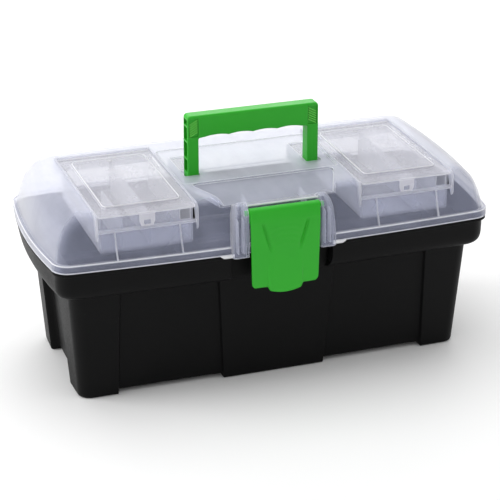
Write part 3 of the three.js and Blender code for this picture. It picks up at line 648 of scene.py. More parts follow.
def plan_bead(inset, z, radius):
    """A thin round bead that runs along the flange, left out at the latch pocket."""
    bead = loft([plan_ring(inset + across, inset + across, z + up) for across, up in around(radius)], closed=True)
    return cut(bead, block(-CHEEK_X[1] - 0.5, CHEEK_X[1] + 0.5, -DEPTH, -DEPTH / 4, 100, 150))


def flange_beads():
    return join(plan_bead(0.8, STEP_Z - 0.55, 0.62), plan_bead(0.62, SPLIT_Z + 0.62, 0.55))


def flange_ears():
    """Small tabs that hang from the flange beside the latch pillars."""
    low, high, inner = PORCH_BOTTOM - 0.3, SPLIT_Z + 1.4, CHEEK_X[1] - 2.0
    outline = [(inner, high), (inner, low), (53.0, low), (56.0, SPLIT_Z + 0.2), (56.0, high)]
    outline = rounded(outline, [0, 0, 1.6, 1.0, 0.4])
    return both_sides(prism(outline, "y", -DEPTH / 2 - 0.9, -DEPTH / 2 + 0.7, 0.35))


def lid_knuckles():
    y, z = HINGE_AXIS
    bracket = [(y - 3.6, z + 1), (y, z), (y + 3.7, z + 1.4), (y - 0.4, STEP_Z - 0.2), (y - 3.6, STEP_Z - 0.2)]
    return both_sides(bored(knuckle(HINGE_X - LID_KNUCKLE, HINGE_X + LID_KNUCKLE, bracket)))


def handle_bosses():
    """Under the bridge: the walls of the slots and the bearings of the handle's trunnions."""
    y, z = HANDLE_AXIS
    under = BRIDGE_Z - 1.6
    outline = [(y - 6.5, under), (y - 6.5, z - 1), (y - 4, z - 6), (y + 4, z - 6), (y + 6.5, z - 1), (y + 6.5, under)]
    boss = prism(rounded(outline, [0, 2, 2, 2, 2, 0]), "x", SLOT_X[0] - 7.4, SLOT_X[0] - 0.1, 0.4)
    return both_sides(cut(boss, rod(SLOT_X[0] - 12, SLOT_X[0] + 4, HANDLE_AXIS, TRUNNION_BORE, sides=32)))


def rect_ring(x0, x1, y0, y1, radius, z, steps=5):
    return [(x, y, z) for x, y in rounded(rect(x0, x1, y0, y1), max(radius, 0.05), steps)]


def slot_pockets():
    """Thin boxes under the two slots that the folded handle sinks into."""
    wall = 1.2
    x0, x1, y0, y1 = SLOT_X[0] - 0.1, SLOT_X[1] + 0.1, SLOT_Y[0] + 8.0, SLOT_Y[1] + 0.1
    top, floor = BRIDGE_Z - LID_WALL + 0.1, 157.0

    def ring(out, z):
        return rect_ring(x0 - out, x1 + out, y0 - out, y1 + out, 1.2 + out, z)

    rows = [(-2.0, floor - wall), (0.0, floor - wall), (wall, floor), (wall, top), (0.0, top)]
    rows += [(0.0, floor + 1.4), (-0.2, floor + 0.6), (-0.8, floor), (-2.0, floor)]
    shape = loft([ring(*row) for row in rows])
    return both_sides(cut(shape, block(x0 - 6, x1 + 6, y0 - 6, y0 + 0.5, floor + 1, top + 4)))


def organiser_well(centre):
    """An open box with a thin wall and a window at the right of its front."""
    half, w = COVER_HALF - 1.4, WELL_WALL
    floor, top = WELL_BOTTOM, COVER_Z - 0.35
    rows = [(1.6, floor), (0.8, floor + 0.25), (0.35, floor + 0.9), (0.2, floor + 2), (0.0, top - 0.4)]
    rows += [(0.15, top - 0.1), (0.4, top), (w - 0.4, top), (w - 0.15, top - 0.1), (w, top - 0.4)]
    rows += [(w + 0.2, floor + w + 1.6), (w + 0.6, floor + w + 0.5), (w + 1.8, floor + w)]
    rings = []
    for inset, z in rows:
        reach, radius = half - inset, max(0.5, 2.8 - inset * 0.8)
        rings.append(rect_ring(centre - reach, centre + reach, WELL_FRONT + inset, WELL_BACK - inset, radius, z))
    window = block(centre + 28.6, centre + 37.4, WELL_FRONT - 1, WELL_FRONT + w + 0.4, 159.2, 168.4)
    return cut(loft(rings), window)


def organiser_frame(centre):
    """Ledge under the organiser's face, fins beside the cover, ribs on the wall below and the bar of the hinge."""
    back, high = WELL_BACK + 9, LID_TOP + 0.55
    fin = [(-82.9, 153), (-80.4, 149.5), (-76, 158), (-74, 166), (WELL_BACK, 168), (back, 168.4), (back, LID_TOP)]
    fin = rounded(fin + [(back - 4, high), (-78.6, high), (-82.0, 169.8)], [0.4, 0.8, 2, 3, 0, 0, 0.8, 1.5, 1.6, 1.2])
    made = [prism(fin, "x", x, x + 1.5, 0.45) for x in (centre - COVER_HALF - 2.0, centre + COVER_HALF + 0.5)]
    ledge = [(-81.6, 156.3), (-77.4, 156.3), (-77.4, LEDGE_Z + 0.2), (-81.3, LEDGE_Z + 0.2), (-81.9, LEDGE_Z - 0.3)]
    made.append(prism(ledge, "x", centre - COVER_HALF - 0.6, centre + COVER_HALF + 0.6, 0.35))
    rib = [(-90.2, 134.2), (-86.5, 134.2), (-79.4, 156), (-81.2, 156.4), (-84.4, 146)]
    made += [prism(rib, "x", x - 0.5, x + 0.5, 0.2) for x in (centre - 27.8, centre + 27.8)]
    y, z = COVER_AXIS
    bar = [(WELL_BACK - 1.6, 162), (y + 5, 162), (y + 5, LID_TOP - 0.2)]
    bar += arc(COVER_AXIS, 3.0, 0, -180, 12) + [(WELL_BACK - 1.6, z)]
    made.append(prism(bar, "x", centre - COVER_HALF - 1.8, centre + COVER_HALF + 1.8, 0.3))
    return join(*made)


PANEL_RISE = 4.0
PANEL_EDGE = (8.8, 15.9, 14.3, 5.0)  # inset of the raised panel's edge at the side, front and back, and its corner
MARK_Y = 36.5


def cover_ring(centre, side, front, back, radius, z):
    """A round-cornered rectangle at insets from the cover's outline."""
    reach = COVER_HALF - side
    low_y, high_y = COVER_LOW[1] + front, COVER_AXIS[0] - 0.8 - back
    return rect_ring(centre - reach, centre + reach, low_y, high_y, radius, z, 7)


def organiser_cover(centre):
    base, sheet, top = COVER_Z, COVER_Z + 1.7, COVER_Z + PANEL_RISE
    under = [(11.6, top - 1.7, 4.0), (10.2, top - 1.75, 4.5), (9.6, top - 2.2, 4.6), (9.4, base + 0.3, 4.8)]
    under += [(9.1, base, 5.0)]
    rim = [(0.5, base, 2.0), (0.15, base + 0.15, 2.3), (0.0, base + 0.5, 2.4)]
    rim += [(0.0, sheet - 0.5, 2.4), (0.15, sheet - 0.15, 2.3), (0.5, sheet, 2.0)]
    panel = [(7.2, sheet, 5.8), (7.7, sheet + 0.15, 5.6), (8.0, sheet + 0.6, 5.5)]
    panel += [(8.5, top - 0.6, 5.2), (8.8, top - 0.2, 5.0), (9.4, top, 4.6)]
    rings = []
    for rows, front, back in ((under, 7.0, 5.8), (rim, 0.0, 0.0), (panel, 7.1, 5.5), ([(11.5, top, 4.0)], 7.0, 5.8)):
        rings += [cover_ring(centre, side, side + front, side + back, radius, z) for side, z, radius in rows]
    front = COVER_LOW[1]
    tab = [(-6.6, sheet - 0.2), (-6.6, 163), (-5, 158.6)]
    tab = rounded([(centre + x, z) for x, z in tab + reflected(tab)], [0, 1.2, 1.2, 1.2, 1.2, 0])
    tab = prism(tab, "y", front, front + 1.6, 0.35)
    tab = cut(tab, block(centre - 3, centre + 3, front - 2, front + 4, 160, 164.4))
    mark = ((2.6, -0.1), (2.6, 0.02), (2.3, 0.18), (1.5, 0.2), (1.2, 0.02), (0.9, 0.02), (0.8, 0.3), (0.5, 0.35))
    mark = loft([[(x, y, top + dz) for x, y in disc((centre, MARK_Y), r, 24)] for r, dz in mark])
    barrel, pins = (
        rod(centre - COVER_HALF - longer, centre + COVER_HALF + longer, COVER_AXIS, radius, sides=sides)
        for longer, radius, sides in ((0.0, 1.6, 24), (1.2, 1.1, 20))
    )
    return join(loft(rings), tab, mark, barrel, pins)


def cover_trim(centre):
    """The rounded arris of the cover's raised panel."""
    side, front, back, radius = PANEL_EDGE
    z = COVER_Z + PANEL_RISE - 0.45
    rings = [cover_ring(centre, side + a, front + a, back + a, radius - a, z + up) for a, up in around(0.5)]
    return loft(rings, closed=True)


def divider(x, y0, y1):
    low, high = WELL_BOTTOM + WELL_WALL + 0.3, COVER_Z - 2.4
    return prism(rounded(rect(y0, y1, low, high), [0.6, 0.6, 3.5, 3.5]), "x", x - 0.7, x + 0.7, 0.3)


# ---- handle ----

HANDLE_HALF = HANDLE_HIGH[0]
HANDLE_TOP = HANDLE_HIGH[2]
HANDLE_LEG = 10.0
HANDLE_CORNER = 3.4
TRUNNION = 3.0
TRUNNION_BORE = 3.3
BAR_BOTTOM = 204.4
FINGER_PITCH = 22.0
FINGER_RISE = 1.3
CHANNEL_POCKETS = ((172.5, 183.9), (185.2, 199.7), (201.0, 213.5), (214.8, HANDLE_TOP - 3.6))
RIDGE_PANEL = (49.6, 58.2, 204.8, 221.0)
RIDGE_DEPTH = 1.2
RIDGE_PITCH = 2.1
RIDGE_COUNT = 6


def handle_outline():
    """The arch seen from the front."""
    foot, inner, corner = HANDLE_AXIS[1] - 6.2, HANDLE_HALF - HANDLE_LEG, HANDLE_CORNER
    outside = [(HANDLE_HALF, foot), (HANDLE_HALF, 180), (HANDLE_HALF, 200)]
    outside += arc((HANDLE_HALF - corner, HANDLE_TOP - corner), corner, 0, 90, 10)
    top = [(x, HANDLE_TOP) for x in np.linspace(HANDLE_HALF - 12, 12 - HANDLE_HALF, 25)]
    inside = [(-inner, foot), (-inner, 180), (-inner, 198)]
    inside += arc((-inner + 1.6, BAR_BOTTOM - 2.4), 1.6, 180, 90, 4)
    scallops = [
        ((t - 2) * FINGER_PITCH, BAR_BOTTOM - 0.5 + FINGER_RISE * abs(math.sin(math.pi * t)) ** 0.8)
        for t in np.linspace(0, 4, 49)
    ]
    return outside + top + reflected(outside) + inside + scallops + reflected(inside)


def inward_normals(points):
    """Unit vectors into an anticlockwise outline at each point."""
    pts = np.array(points, float)
    ahead, behind = np.roll(pts, -1, 0) - pts, pts - np.roll(pts, 1, 0)

    def across(v):
        return np.array([-v[1], v[0]]) / max(np.hypot(*v), 1e-9)

    normals = []
    for a, b in zip(ahead, behind):
        n = across(a) + across(b)
        n = n / max(np.hypot(*n), 1e-9)
        normals.append(n / max(n @ across(a), 0.5))
    return np.array(normals)


def carry_handle():
    points = np.array(handle_outline())
    normals = inward_normals(points)
    y0, y1 = HANDLE_LOW[1], HANDLE_HIGH[1]
    top = smoothstep((points[:, 1] - (HANDLE_TOP - 7.0)) / 5.0)
    depths = 2.4 * (1 - np.cos(np.radians(np.linspace(0, 90, 11))))

    def ring(y, distance, radius):
        d = np.minimum(distance, radius)
        inset = radius - np.sqrt(np.maximum(radius**2 - (radius - d) ** 2, 0.0))
        return [(x, y, z) for x, z in points + normals * inset[:, None]]

    rings = [ring(y0 + d, d, 1.0 + 0.3 * top) for d in depths]
    rings += [ring(y1 - d, d, 1.0 + 1.0 * top) for d in depths[:-1][::-1] * 1.5]
    above, pivot = HANDLE_TOP + 3, HANDLE_AXIS[1] + 1
    foot = [(y0 - 2, above), (y1 + 2, above), (y1 + 2, pivot)]
    foot += arc(HANDLE_AXIS, 6.2, 0, -180, 16) + [(y0 - 2, pivot)]
    shape = common(loft(rings), prism(foot, "x", -HANDLE_HALF - 2, HANDLE_HALF + 2))
    for z0, z1 in CHANNEL_POCKETS:
        pocket = rounded(rect(y0 + 1.5, y1 - 1.5, z0, z1), 0.8)
        for low, high in ((HANDLE_HALF - 7.5, HANDLE_HALF + 2), (-HANDLE_HALF - 2, 7.5 - HANDLE_HALF)):
            shape = cut(shape, prism(pocket, "x", low, high))
    trunnion = rod(HANDLE_HALF - HANDLE_LEG - 6.4, HANDLE_HALF - HANDLE_LEG + 1, HANDLE_AXIS, TRUNNION, 0.5)
    shape = cut(shape, both_sides(prism(rounded(rect(*RIDGE_PANEL), 1.0), "y", y0 - 1, y0 + RIDGE_DEPTH)))
    return join(shape, both_sides(trunnion))


def handle_ridges():
    """Slanted bars in the sunk panels of the handle's shoulders, each with a sloped upper face."""
    y0 = HANDLE_LOW[1]
    ridges = []
    for k in range(RIDGE_COUNT):
        start = np.array((57.4, 205.4 + RIDGE_PITCH * k))
        end = np.array((50.4, 209.2 + RIDGE_PITCH * k))
        up = np.array([end[1] - start[1], start[0] - end[0]]) / np.linalg.norm(end - start)
        section = [(-0.4, RIDGE_DEPTH + 0.1), (-0.35, 0.15), (-0.2, 0.02), (0.1, 0.02), (0.5, RIDGE_DEPTH + 0.1)]
        corners = [[(*(p + up * u), depth) for u, depth in section] for p in (start, end)]
        ridges.append(loft([[(x, y0 + depth, z) for x, z, depth in ring] for ring in corners]))
    return both_sides(join(*ridges))


# ---- latch ----

LATCH_FRONT = LATCH_LOW[1] + 0.9
LATCH_BACK = LATCH_FRONT + 2.6
LATCH_FOOT_Z = LATCH_LOW[2] + 6.2
LATCH_TOP_HALF = 31.2
LATCH_FOOT_HALF = 29.6
LATCH_ROLL = 3.8
ARC_CENTRE_Z = 114.0
ARC_RADII = (20.0, 25.0, 30.0, 35.0)
LATCH_PINTLE = 2.4
LATCH_WEB_X = (-24, -8, 8, 24)
LATCH_BEND = 5.6  # height above the neck where the plate's relief ends
LATCH_EDGE = 0.022  # share of the half width over which the sides round off
LATCH_GROOVE_TILT = 0.29
LATCH_NECK_Z = LATCH_AXIS[1] - 14.4  # where the flat plate starts to curve towards the roll


def latch_profile():
    """Side view of the latch as a closed line of (y, z): up the front, over the roll and down the back."""
    y, z = LATCH_AXIS
    neck = LATCH_NECK_Z
    front = [(LATCH_FRONT, h) for h in np.linspace(LATCH_FOOT_Z, neck, 40)]
    bend = [(LATCH_FRONT, neck), (LATCH_FRONT + 0.25, neck + 5), (LATCH_FRONT + 0.9, neck + 10)]
    front += spline_rows(bend + [(y - LATCH_ROLL, z + 0.6)], 4)[1:]
    roll = arc(LATCH_AXIS, LATCH_ROLL, 168, -60, 22)[1:]
    back = spline_rows([(y + 1.0, z - 3.7), (y - 1.2, z - 4.7), (LATCH_BACK + 0.4, neck + 5), (LATCH_BACK, neck)], 4)
    back += [(LATCH_BACK, h) for h in np.linspace(neck - 2, LATCH_FOOT_Z, 38)]
    return front + roll + back


def latch_foot(x):
    """How far the foot reaches below its corners: a shallow pull edge in the middle."""
    bulge = 2.2 * np.clip(1 - (x / 13.0) ** 2, 0, 1)
    return bulge + 4.0 * smoothstep((16.5 - abs(x)) / 3.5)


def latch_relief(x, z):
    """Raised middle at the foot, two slanted grooves and low arcs between them, as a shift of the front face."""
    raised = 0.9 * smoothstep((15.6 - abs(x)) / 1.4) * smoothstep((124.0 - z) / 22.0)
    centre = 13.2 + (z - 128.0) * LATCH_GROOVE_TILT
    reach = smoothstep((z - 125.5) / 8.0) * smoothstep((LATCH_NECK_Z + 5.5 - z) / 2.5)
    offset = (abs(x) - centre) / 0.95
    groove = 1.7 * reach * math.exp(-(offset**2) * (1.0 if offset > 0 else 0.3))
    between = smoothstep((centre - 2.2 - abs(x)) / 2.0) * smoothstep((z - 128.0) / 4.0)
    distance = math.hypot(x, z - ARC_CENTRE_Z)
    arcs = 0.3 * between * sum(math.exp(-(((distance - r) / 0.8) ** 2)) for r in ARC_RADII)
    side_bow = 0.5 * (abs(x) / LATCH_TOP_HALF) ** 4
    return groove + side_bow - raised - arcs


def front_latch():
    profile = latch_profile()
    edge = LATCH_EDGE
    turn = edge * (1 - np.sin(np.linspace(0, np.pi / 2, 6)))
    stations = np.unique(np.concatenate([np.linspace(-1, 1, 121) * (1 - edge), 1 - turn, -1 + turn]))
    centre_y = np.mean([LATCH_FRONT, LATCH_BACK])
    rings = []
    for t in stations:
        overshoot = max(0.0, (abs(t) - (1 - edge)) / edge)
        shrink = 1.0 - math.sqrt(max(0.0, 1.0 - overshoot**2))
        ring = []
        for y, z in profile:
            share = np.clip((z - LATCH_FOOT_Z) / (LATCH_AXIS[1] - LATCH_FOOT_Z), 0, 1)
            half = LATCH_FOOT_HALF + (LATCH_TOP_HALF - LATCH_FOOT_HALF) * share
            x = t * half
            drop = latch_foot(x) * smoothstep((112.0 - z) / 14.0)
            corner = 3.0 * max(0.0, (abs(t) * half - (half - 3.0)) / 3.0) ** 2 * smoothstep((102.0 - z) / 6.0)
            h = z - drop + corner
            if z < LATCH_NECK_Z + LATCH_BEND:
                roundness = 0.9 * max(0.0, 1.0 - (z - LATCH_FOOT_Z) / 1.2) ** 2
                y = y + (latch_relief(x, h) + roundness if y < centre_y else -roundness)
            middle = centre_y if z < LATCH_NECK_Z + 6 else LATCH_AXIS[0]
            ring.append((x, y + (middle - y) * shrink * 0.75, h))
        rings.append(ring)
    pintle = rod(-CHEEK_X[0] - 3.2, CHEEK_X[0] + 3.2, LATCH_AXIS, LATCH_PINTLE - 0.05, 0.4)
    root, tip = LATCH_BACK - 0.5, -DEPTH / 2 - 0.6
    hook = prism(rounded([(root, 115.5), (tip, 118.3), (tip, 120.4), (root, 120.6)], 0.3), "x", -20, 20, 0.2)
    webs = [block(x - 0.8, x + 0.8, root, root + 2, 104, LATCH_NECK_Z - 2, 0.3) for x in LATCH_WEB_X]
    return join(loft(rings), pintle, hook, *webs)


# ---- tray ----

TRAY_TOP = TRAY_HIGH[2]
TRAY_BOTTOM = TRAY_LOW[2]
TRAY_LIP = 2.4
TRAY_WALL = 1.8
TRAY_INSET = (30.5, 21.5)
TRAY_EDGE = 7.2  # inset of the lip's rim
TRAY_GRIP_HALF = 62.0
TRAY_PARTITION_X = 70.0
GRIP_PLATE = (-1.1, 1.1)


def lift_out_tray():
    side = TRAY_INSET[1]
    bottom, top, under, w = TRAY_BOTTOM, TRAY_TOP, TRAY_TOP - TRAY_LIP, TRAY_WALL
    rim, wall = (TRAY_EDGE, TRAY_EDGE), TRAY_INSET
    rows = [
        (bottom, wall, 8), (bottom + 0.3, wall, 5.6), (bottom + 1.2, wall, 4.2), (bottom + 3, wall, 3.2),
        (under - 0.6, wall, 0), (under, wall, -0.5), (under, rim, 0.5), (under + 0.3, rim, 0.1),
        (top - 0.4, rim, 0), (top - 0.1, rim, 0.15), (top, rim, 0.5), (top, wall, w - 0.6), (top - 0.5, wall, w),
        (bottom + 5, wall, w + 3), (bottom + 2.6, wall, w + 4.2), (bottom + 1.9, wall, w + 6),
        (bottom + 1.8, wall, w + 8),
    ]
    rows = [(z, x + further, y + further) for z, (x, y), further in rows]
    shell = plan_loft(rows, side_steps=24, end_steps=10, corner_steps=8)
    front, back = -DEPTH / 2 + side, GRIP_PLATE[0] - 0.3
    relief = block(-51, 51, -DEPTH, front - 0.8, top - 4, top + 1)
    partition = [(front + 1.2, top - 6), (front + 4.6, bottom + 1), (back, bottom + 1), (back, top - 6)]
    partition = rounded(partition, [0.6, 0, 0, 0.6])
    partitions = [prism(partition, "x", x - 0.9, x + 0.9, 0.25) for x in (-TRAY_PARTITION_X, TRAY_PARTITION_X)]
    return join(cut(shell, relief), *partitions)


def tray_grip():
    """A plate that stands lengthwise in the tray, with a hole for the fingers under its bar."""
    top, half, shoulder = GRIP_HIGH[2], TRAY_GRIP_HALF, TRAY_TOP - 4
    low, reach = GRIP_LOW[2] + 0.1, GRIP_HIGH[0]
    right = [(reach - 4.2, low), (reach - 0.4, shoulder), (half + 14, shoulder), (half, top - 3), (half - 4, top)]
    left = reflected(right)
    outline = rounded(left[-1:] + right + left[:-1], [0, 0, 1, 6, 3, 3, 3, 3, 6, 1])
    hole = rounded(rect(12 - half, half - 12, top - 23.8, top - 5.2), 5)
    plate = cut(prism(outline, "y", *GRIP_PLATE, 0.35), prism(hole, "y", -10, 10))
    return join(plate, prism(rounded(rect(-5, 5, top - 3, top), 1.4), "x", 4 - half, half - 4, 0.3))


# ---- materials ----

SOFT_EDGE = 0.0006  # metres by which every edge is rounded in the shading


class Shader:
    """A small helper for building a node material on one Principled shader."""

    def __init__(self, name, **uniform):
        self.material = bpy.data.materials.new(name)
        self.material.use_nodes = True
        self.nodes = self.material.node_tree.nodes
        self.bsdf = next(n for n in self.nodes if n.type == "BSDF_PRINCIPLED")
        for key, value in uniform.items():
            self.set(key.replace("_", " "), value)
        self.position = self.add("TexCoord", "Object")

    def feed(self, socket, value):
        """Sets a socket to a number or colour, or links it to another node's output."""
        if isinstance(value, bpy.types.NodeSocket):
            self.material.node_tree.links.new(value, socket)
        elif socket.type == "RGBA":
            socket.default_value = (*value, 1.0)
        else:
            socket.default_value = value

    def add(self, kind, output, operation=None, **inputs):
        """A new node with its inputs fed (input_1 is the one with index 1); gives back one of its outputs."""
        node = self.nodes.new("ShaderNode" + kind)
        if operation:
            node.operation = operation
        for key, value in inputs.items():
            numbered = key.startswith("input_")
            self.feed(node.inputs[int(key[6:]) if numbered else key.replace("_", " ")], value)
        return node.outputs[output]

    def set(self, socket, value):
        self.feed(self.bsdf.inputs[socket], value)

    def noise(self, scale, detail=3.0, roughness=0.55, stretch=(1, 1, 1), distortion=0.0):
        vector = self.add("Mapping", "Vector", Scale=stretch, Vector=self.position)
        return self.add(
            "TexNoise", "Fac", Scale=scale, Detail=detail, Roughness=roughness, Distortion=distortion, Vector=vector
        )

    def remap(self, value, low, high, to_low, to_high):
        return self.add("MapRange", "Result", Value=value, From_Min=low, From_Max=high, To_Min=to_low, To_Max=to_high)

    def math(self, operation, a, b):
        return self.add("Math", "Value", operation, input_0=a, input_1=b)

    def blend(self, share, first, second):
        node = self.nodes.new("ShaderNodeMix")
        node.data_type = "RGBA"
        for socket, value in zip([s for s in node.inputs if s.type == "RGBA"], (first, second)):
            self.feed(socket, value)
        self.feed(node.inputs[0], share)
        return next(s for s in node.outputs if s.type == "RGBA")

    def soft_edges(self, radius):
        """Normals rounded over edges."""
        node = self.nodes.new("ShaderNodeBevel")
        node.samples = 4
        self.feed(node.inputs["Radius"], radius)
        return node.outputs["Normal"]

    def edge_share(self, radius):
        """Near 1 on edges and corners, 0 on flat ground."""
        normal = self.add("NewGeometry", "Normal")
        dot = self.add("VectorMath", "Value", "DOT_PRODUCT", input_0=self.soft_edges(radius), input_1=normal)
        return self.remap(dot, 0.99, 0.75, 0.0, 1.0)

    def skin(self, cloud, fine, rough, *bumps):
        """Roughness between two values, and soft edges under bumps of (noise, height in metres, strength)."""
        share = self.math("ADD", cloud, self.noise(fine, 3.0))
        self.set("Roughness", self.remap(share, 0.7, 1.3, *rough))
        normal = self.soft_edges(SOFT_EDGE)
        for height, distance, strength in bumps:
            normal = self.add("Bump", "Normal", Strength=strength, Distance=distance, Height=height, Normal=normal)
        self.set("Normal", normal)


def black_plastic(name, dark, light, rough):
    s = Shader(name, Specular_IOR_Level=0.1)
    cloud = s.noise(14.0, 4.0)
    scuff = s.noise(160.0, 2.0, stretch=(1.0, 1.0, 0.16))
    worn = s.math("MULTIPLY", s.edge_share(0.0009), s.remap(scuff, 0.45, 0.75, 0.1, 0.8))
    base = s.blend(s.remap(cloud, 0.3, 0.7, 0.0, 1.0), dark, light)
    s.set("Base Color", s.blend(worn, base, tuple(c * 3.2 for c in light)))
    grain = s.noise(2400.0, 2.0, 0.6)
    s.skin(cloud, 520.0, (rough - 0.07, rough + 0.09), (s.noise(26.0, 2.0), 0.0007, 0.25), (grain, 0.00009, 0.55))
    return s.material


def green_plastic(name, dark, light):
    s = Shader(name, Specular_IOR_Level=0.36)
    cloud = s.noise(18.0, 4.0)
    base = s.blend(s.remap(cloud, 0.3, 0.7, 0.0, 1.0), dark, light)
    # Edges and corners are blended towards a light green, the colour of the lit top: partly worn edges, partly a
    # painted highlight.
    s.set("Base Color", s.blend(s.math("MULTIPLY", s.edge_share(0.0008), 0.4), base, (0.12, 0.60, 0.07)))
    grain = s.noise(2600.0, 2.0, 0.6)
    s.skin(cloud, 600.0, (0.34, 0.5), (s.noise(30.0, 2.0), 0.0006, 0.2), (grain, 0.00007, 0.5))
    return s.material


def frosted_plastic(name, tint, alpha, grazing, side, edge_width, spread, rough):
    """Milky plastic: part clear, part rough refraction (`spread`), part white scatter (`alpha`).

    `grazing` adds scatter where the wall is seen along its length, `side` on its upright faces.
    """
    s = Shader(name, Specular_IOR_Level=0.14, IOR=1.25)
    cloud = s.noise(22.0, 4.0, distortion=0.6)
    flow = s.noise(60.0, 3.0, stretch=(1.0, 0.25, 1.0))
    glance = s.math("POWER", s.add("LayerWeight", "Facing", Blend=0.5), 2.0)
    normal_z = s.add("SeparateXYZ", "Z", Vector=s.add("TexCoord", "Normal"))
    upright = s.math("SUBTRACT", 1.0, s.math("ABSOLUTE", normal_z, 0.0))
    white = s.math("ADD", s.edge_share(edge_width), s.math("MULTIPLY", upright, side))
    white = s.math("MINIMUM", white, 1.0)
    pale = tuple(min(1.0, c * 1.06) for c in tint)
    colour = s.blend(s.remap(cloud, 0.3, 0.7, 0.0, 1.0), tint, pale)
    colour = s.blend(s.remap(glance, 0.0, 0.6, 0.0, 1.0), colour, (0.73, 0.735, 0.79))
    s.set("Base Color", s.blend(white, colour, (0.95, 0.95, 0.97)))
    cover = s.remap(s.math("ADD", cloud, flow), 0.7, 1.3, alpha - 0.03, alpha + 0.04)
    cover = s.math("ADD", cover, s.math("MULTIPLY", glance, grazing))
    s.set("Alpha", s.math("MINIMUM", s.math("ADD", cover, s.math("MULTIPLY", white, 0.5)), 1.0))
    s.set("Transmission Weight", s.remap(white, 0.0, 1.0, spread, 0.2 * spread))
    scratches = s.noise(240.0, 2.0, stretch=(0.06, 1.0, 1.0))
    s.skin(
        cloud, 500.0, (rough - 0.05, rough + 0.08), (s.noise(30.0, 2.0), 0.0008, 0.3), (scratches, 0.00006, 0.25),
        (s.noise(1800.0, 2.0), 0.00006, 0.35),
    )
    return s.material


BLACK = black_plastic("black_polypropylene", (0.0028, 0.0028, 0.003), (0.0042, 0.0042, 0.0044), 0.44)
TRAY_BLACK = black_plastic("tray_polypropylene", (0.004, 0.004, 0.0045), (0.006, 0.006, 0.0065), 0.5)
GREEN = green_plastic("green_polypropylene", (0.016, 0.40, 0.012), (0.023, 0.44, 0.015))
# A lighter copy of the green for the handle's ridges: a painted highlight standing for the light their upper faces
# catch.
GREEN_PAINTED_HIGHLIGHT = green_plastic("green_polypropylene_ridges_painted_highlight", (0.20, 0.78, 0.12), (0.23, 0.80, 0.14))
LAVENDER = (0.66, 0.70, 0.92)
FROSTED = frosted_plastic("frosted_polypropylene", LAVENDER, 0.175, 0.48, 0.0, 0.0011, 0.12, 0.42)
# A whiter, more opaque copy of the frosted plastic for thin beads, lips, ears and trims: a painted highlight, the
# white lines of light along the lid's edges.
FROSTED_PAINTED_HIGHLIGHT = frosted_plastic("frosted_polypropylene_painted_highlight", (0.92, 0.92, 0.95), 0.6, 0.3, 0.5, 0.0004, 0.2, 0.35)
FROSTED_RIBS = frosted_plastic("frosted_polypropylene_ribs", (0.84, 0.85, 0.94), 0.34, 0.4, 0.1, 0.0008, 0.4, 0.35)
FROSTED_THIN = frosted_plastic("frosted_polypropylene_walls", LAVENDER, 0.09, 0.25, 0.34, 0.0007, 0.0, 0.3)
COVER_CLEAR = frosted_plastic("clear_polypropylene", (0.88, 0.87, 1.0), 0.17, 0.26, 0.4, 0.0008, 0.0, 0.25)


# ---- the object ----


def build():
    piece("tub_shell", join(tub_shell(), tub_knuckles()), BLACK, "tub", "body_tub")
    for side in ("left", "right"):
        pin = frame["nodes"][f"hinge_pin_{side}"]
        pin.data.materials.clear()
        pin.data.materials.append(BLACK)
        pin.data.shade_smooth()
        pin.data.set_sharp_from_angle(angle=math.radians(PIN_SHARP_ANGLE))
    piece("lid_shell", join(lid_shell(), lid_knuckles(), handle_bosses()), FROSTED, "lid", "main_lid")
    # The flange beads, slope lip and ears wear the whiter frosted plastic: a painted highlight along those edges.
    for name, shape, material in (
        ("handle_slot_pockets", slot_pockets(), FROSTED), ("flange_beads", flange_beads(), FROSTED_PAINTED_HIGHLIGHT),
        ("slope_lip", slope_lip(), FROSTED_PAINTED_HIGHLIGHT), ("flange_ears", flange_ears(), FROSTED_PAINTED_HIGHLIGHT),
        ("slope_ribs", slope_ribs(), FROSTED_RIBS), ("pillar_ribs", pillar_ribs(), FROSTED_RIBS),
    ):
        piece(name, shape, material, "lid", None)
    for side, centre in (("left", -COVER_X), ("right", COVER_X)):
        cover = f"cover_{side}"
        piece(f"organiser_well_{side}", organiser_well(centre), FROSTED_THIN, "lid", None)
        piece(f"organiser_frame_{side}", organiser_frame(centre), FROSTED_RIBS, "lid", None)
        piece(cover, organiser_cover(centre), COVER_CLEAR, cover, f"organiser_{cover}")
        # The trim wears the whiter frosted plastic: a painted highlight along the panel's arris.
        piece(f"cover_trim_{side}", cover_trim(centre), FROSTED_PAINTED_HIGHLIGHT, cover, None)
    for name in ("divider_left_long", "divider_left_short", "divider_right_long"):
        node = f"organiser_{name}"
        low, high = node_box(node)
        piece(name, divider((low[0] + high[0]) / 2, low[1], high[1]), FROSTED_THIN, "lid", node)
    piece("handle", carry_handle(), GREEN, "handle", "carry_handle")
    # The ridges wear the lighter copy of the green: a painted highlight on them.
    piece("handle_ridges", handle_ridges(), GREEN_PAINTED_HIGHLIGHT, "handle", None)
    piece("latch", front_latch(), GREEN, "latch", "front_latch")
    piece("tray", lift_out_tray(), TRAY_BLACK, "tray", "lift_out_tray")
    piece("tray_grip_plate", tray_grip(), TRAY_BLACK, "tray", "tray_grip")


build()


# ---- studio ----

FLOOR_REACH = 14.0
WORLD_STRENGTH = 0.62


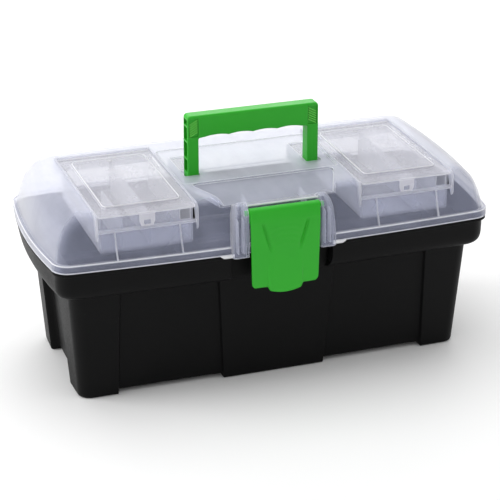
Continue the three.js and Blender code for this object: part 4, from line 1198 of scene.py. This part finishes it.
def add_floor():
    mesh = bpy.data.meshes.new("floor")
    corners = rect(-FLOOR_REACH, FLOOR_REACH, -FLOOR_REACH, FLOOR_REACH)
    mesh.from_pydata([(x, y, 0) for x, y in corners], [], [(0, 1, 2, 3)])
    floor = add_object("floor", mesh)
    s = Shader("floor_paper", Roughness=0.9, Specular_IOR_Level=0.1)
    s.set("Base Color", s.blend(s.noise(3.0, 2.0), (0.90, 0.90, 0.90), (0.93, 0.93, 0.93)))
    mesh.materials.append(s.material)


def aim(obj, location, direction):
    """Places a light or camera and turns it to look along a direction."""
    obj.location = location
    obj.rotation_mode = "QUATERNION"
    obj.rotation_quaternion = direction.to_track_quat("-Z", "Y")


def add_light(name, location, target, size, power):
    data = bpy.data.lights.new(name, "AREA")
    data.shape = "RECTANGLE"
    data.size, data.size_y = size
    data.energy = power
    aim(add_object(name, data), location, Vector(target) - Vector(location))


def add_world(strength):
    world = bpy.data.worlds.new("studio")
    world.use_nodes = True
    background = next(n for n in world.node_tree.nodes if n.type == "BACKGROUND")
    background.inputs["Color"].default_value = (1.0, 1.0, 1.0, 1.0)
    background.inputs["Strength"].default_value = strength
    bpy.context.scene.world = world


CAMERA_AZIMUTH = -19.1439
CAMERA_ELEVATION = 23.5325
CAMERA_DISTANCE = 1.634
CAMERA_TARGET = (0.0015, 0.0, 0.087)
CAMERA_LENS = 131.99


def add_camera():
    a, e = math.radians(CAMERA_AZIMUTH), math.radians(CAMERA_ELEVATION)
    back = Vector((math.sin(a) * math.cos(e), -math.cos(a) * math.cos(e), math.sin(e)))
    data = bpy.data.cameras.new("camera")
    data.sensor_width = 36.0
    data.lens = CAMERA_LENS
    data.clip_end = 60.0
    camera = add_object("camera", data)
    aim(camera, Vector(CAMERA_TARGET) + back * CAMERA_DISTANCE, -back)
    bpy.context.scene.camera = camera


bpy.context.scene.view_settings.view_transform = "Standard"
add_world(WORLD_STRENGTH)
add_light("back_sheen", (0.5, 2.2, 1.3), (0.0, 0.0, 0.15), (2.4, 1.2), 20.0)
add_light("key_left", (-2.0, 0.4, 1.0), (0.0, 0.0, 0.1), (1.4, 1.4), 26.0)
add_light("top_soft", (0.1, 0.4, 2.2), (0.0, 0.0, 0.1), (2.8, 2.4), 26.0)
add_floor()
add_camera()
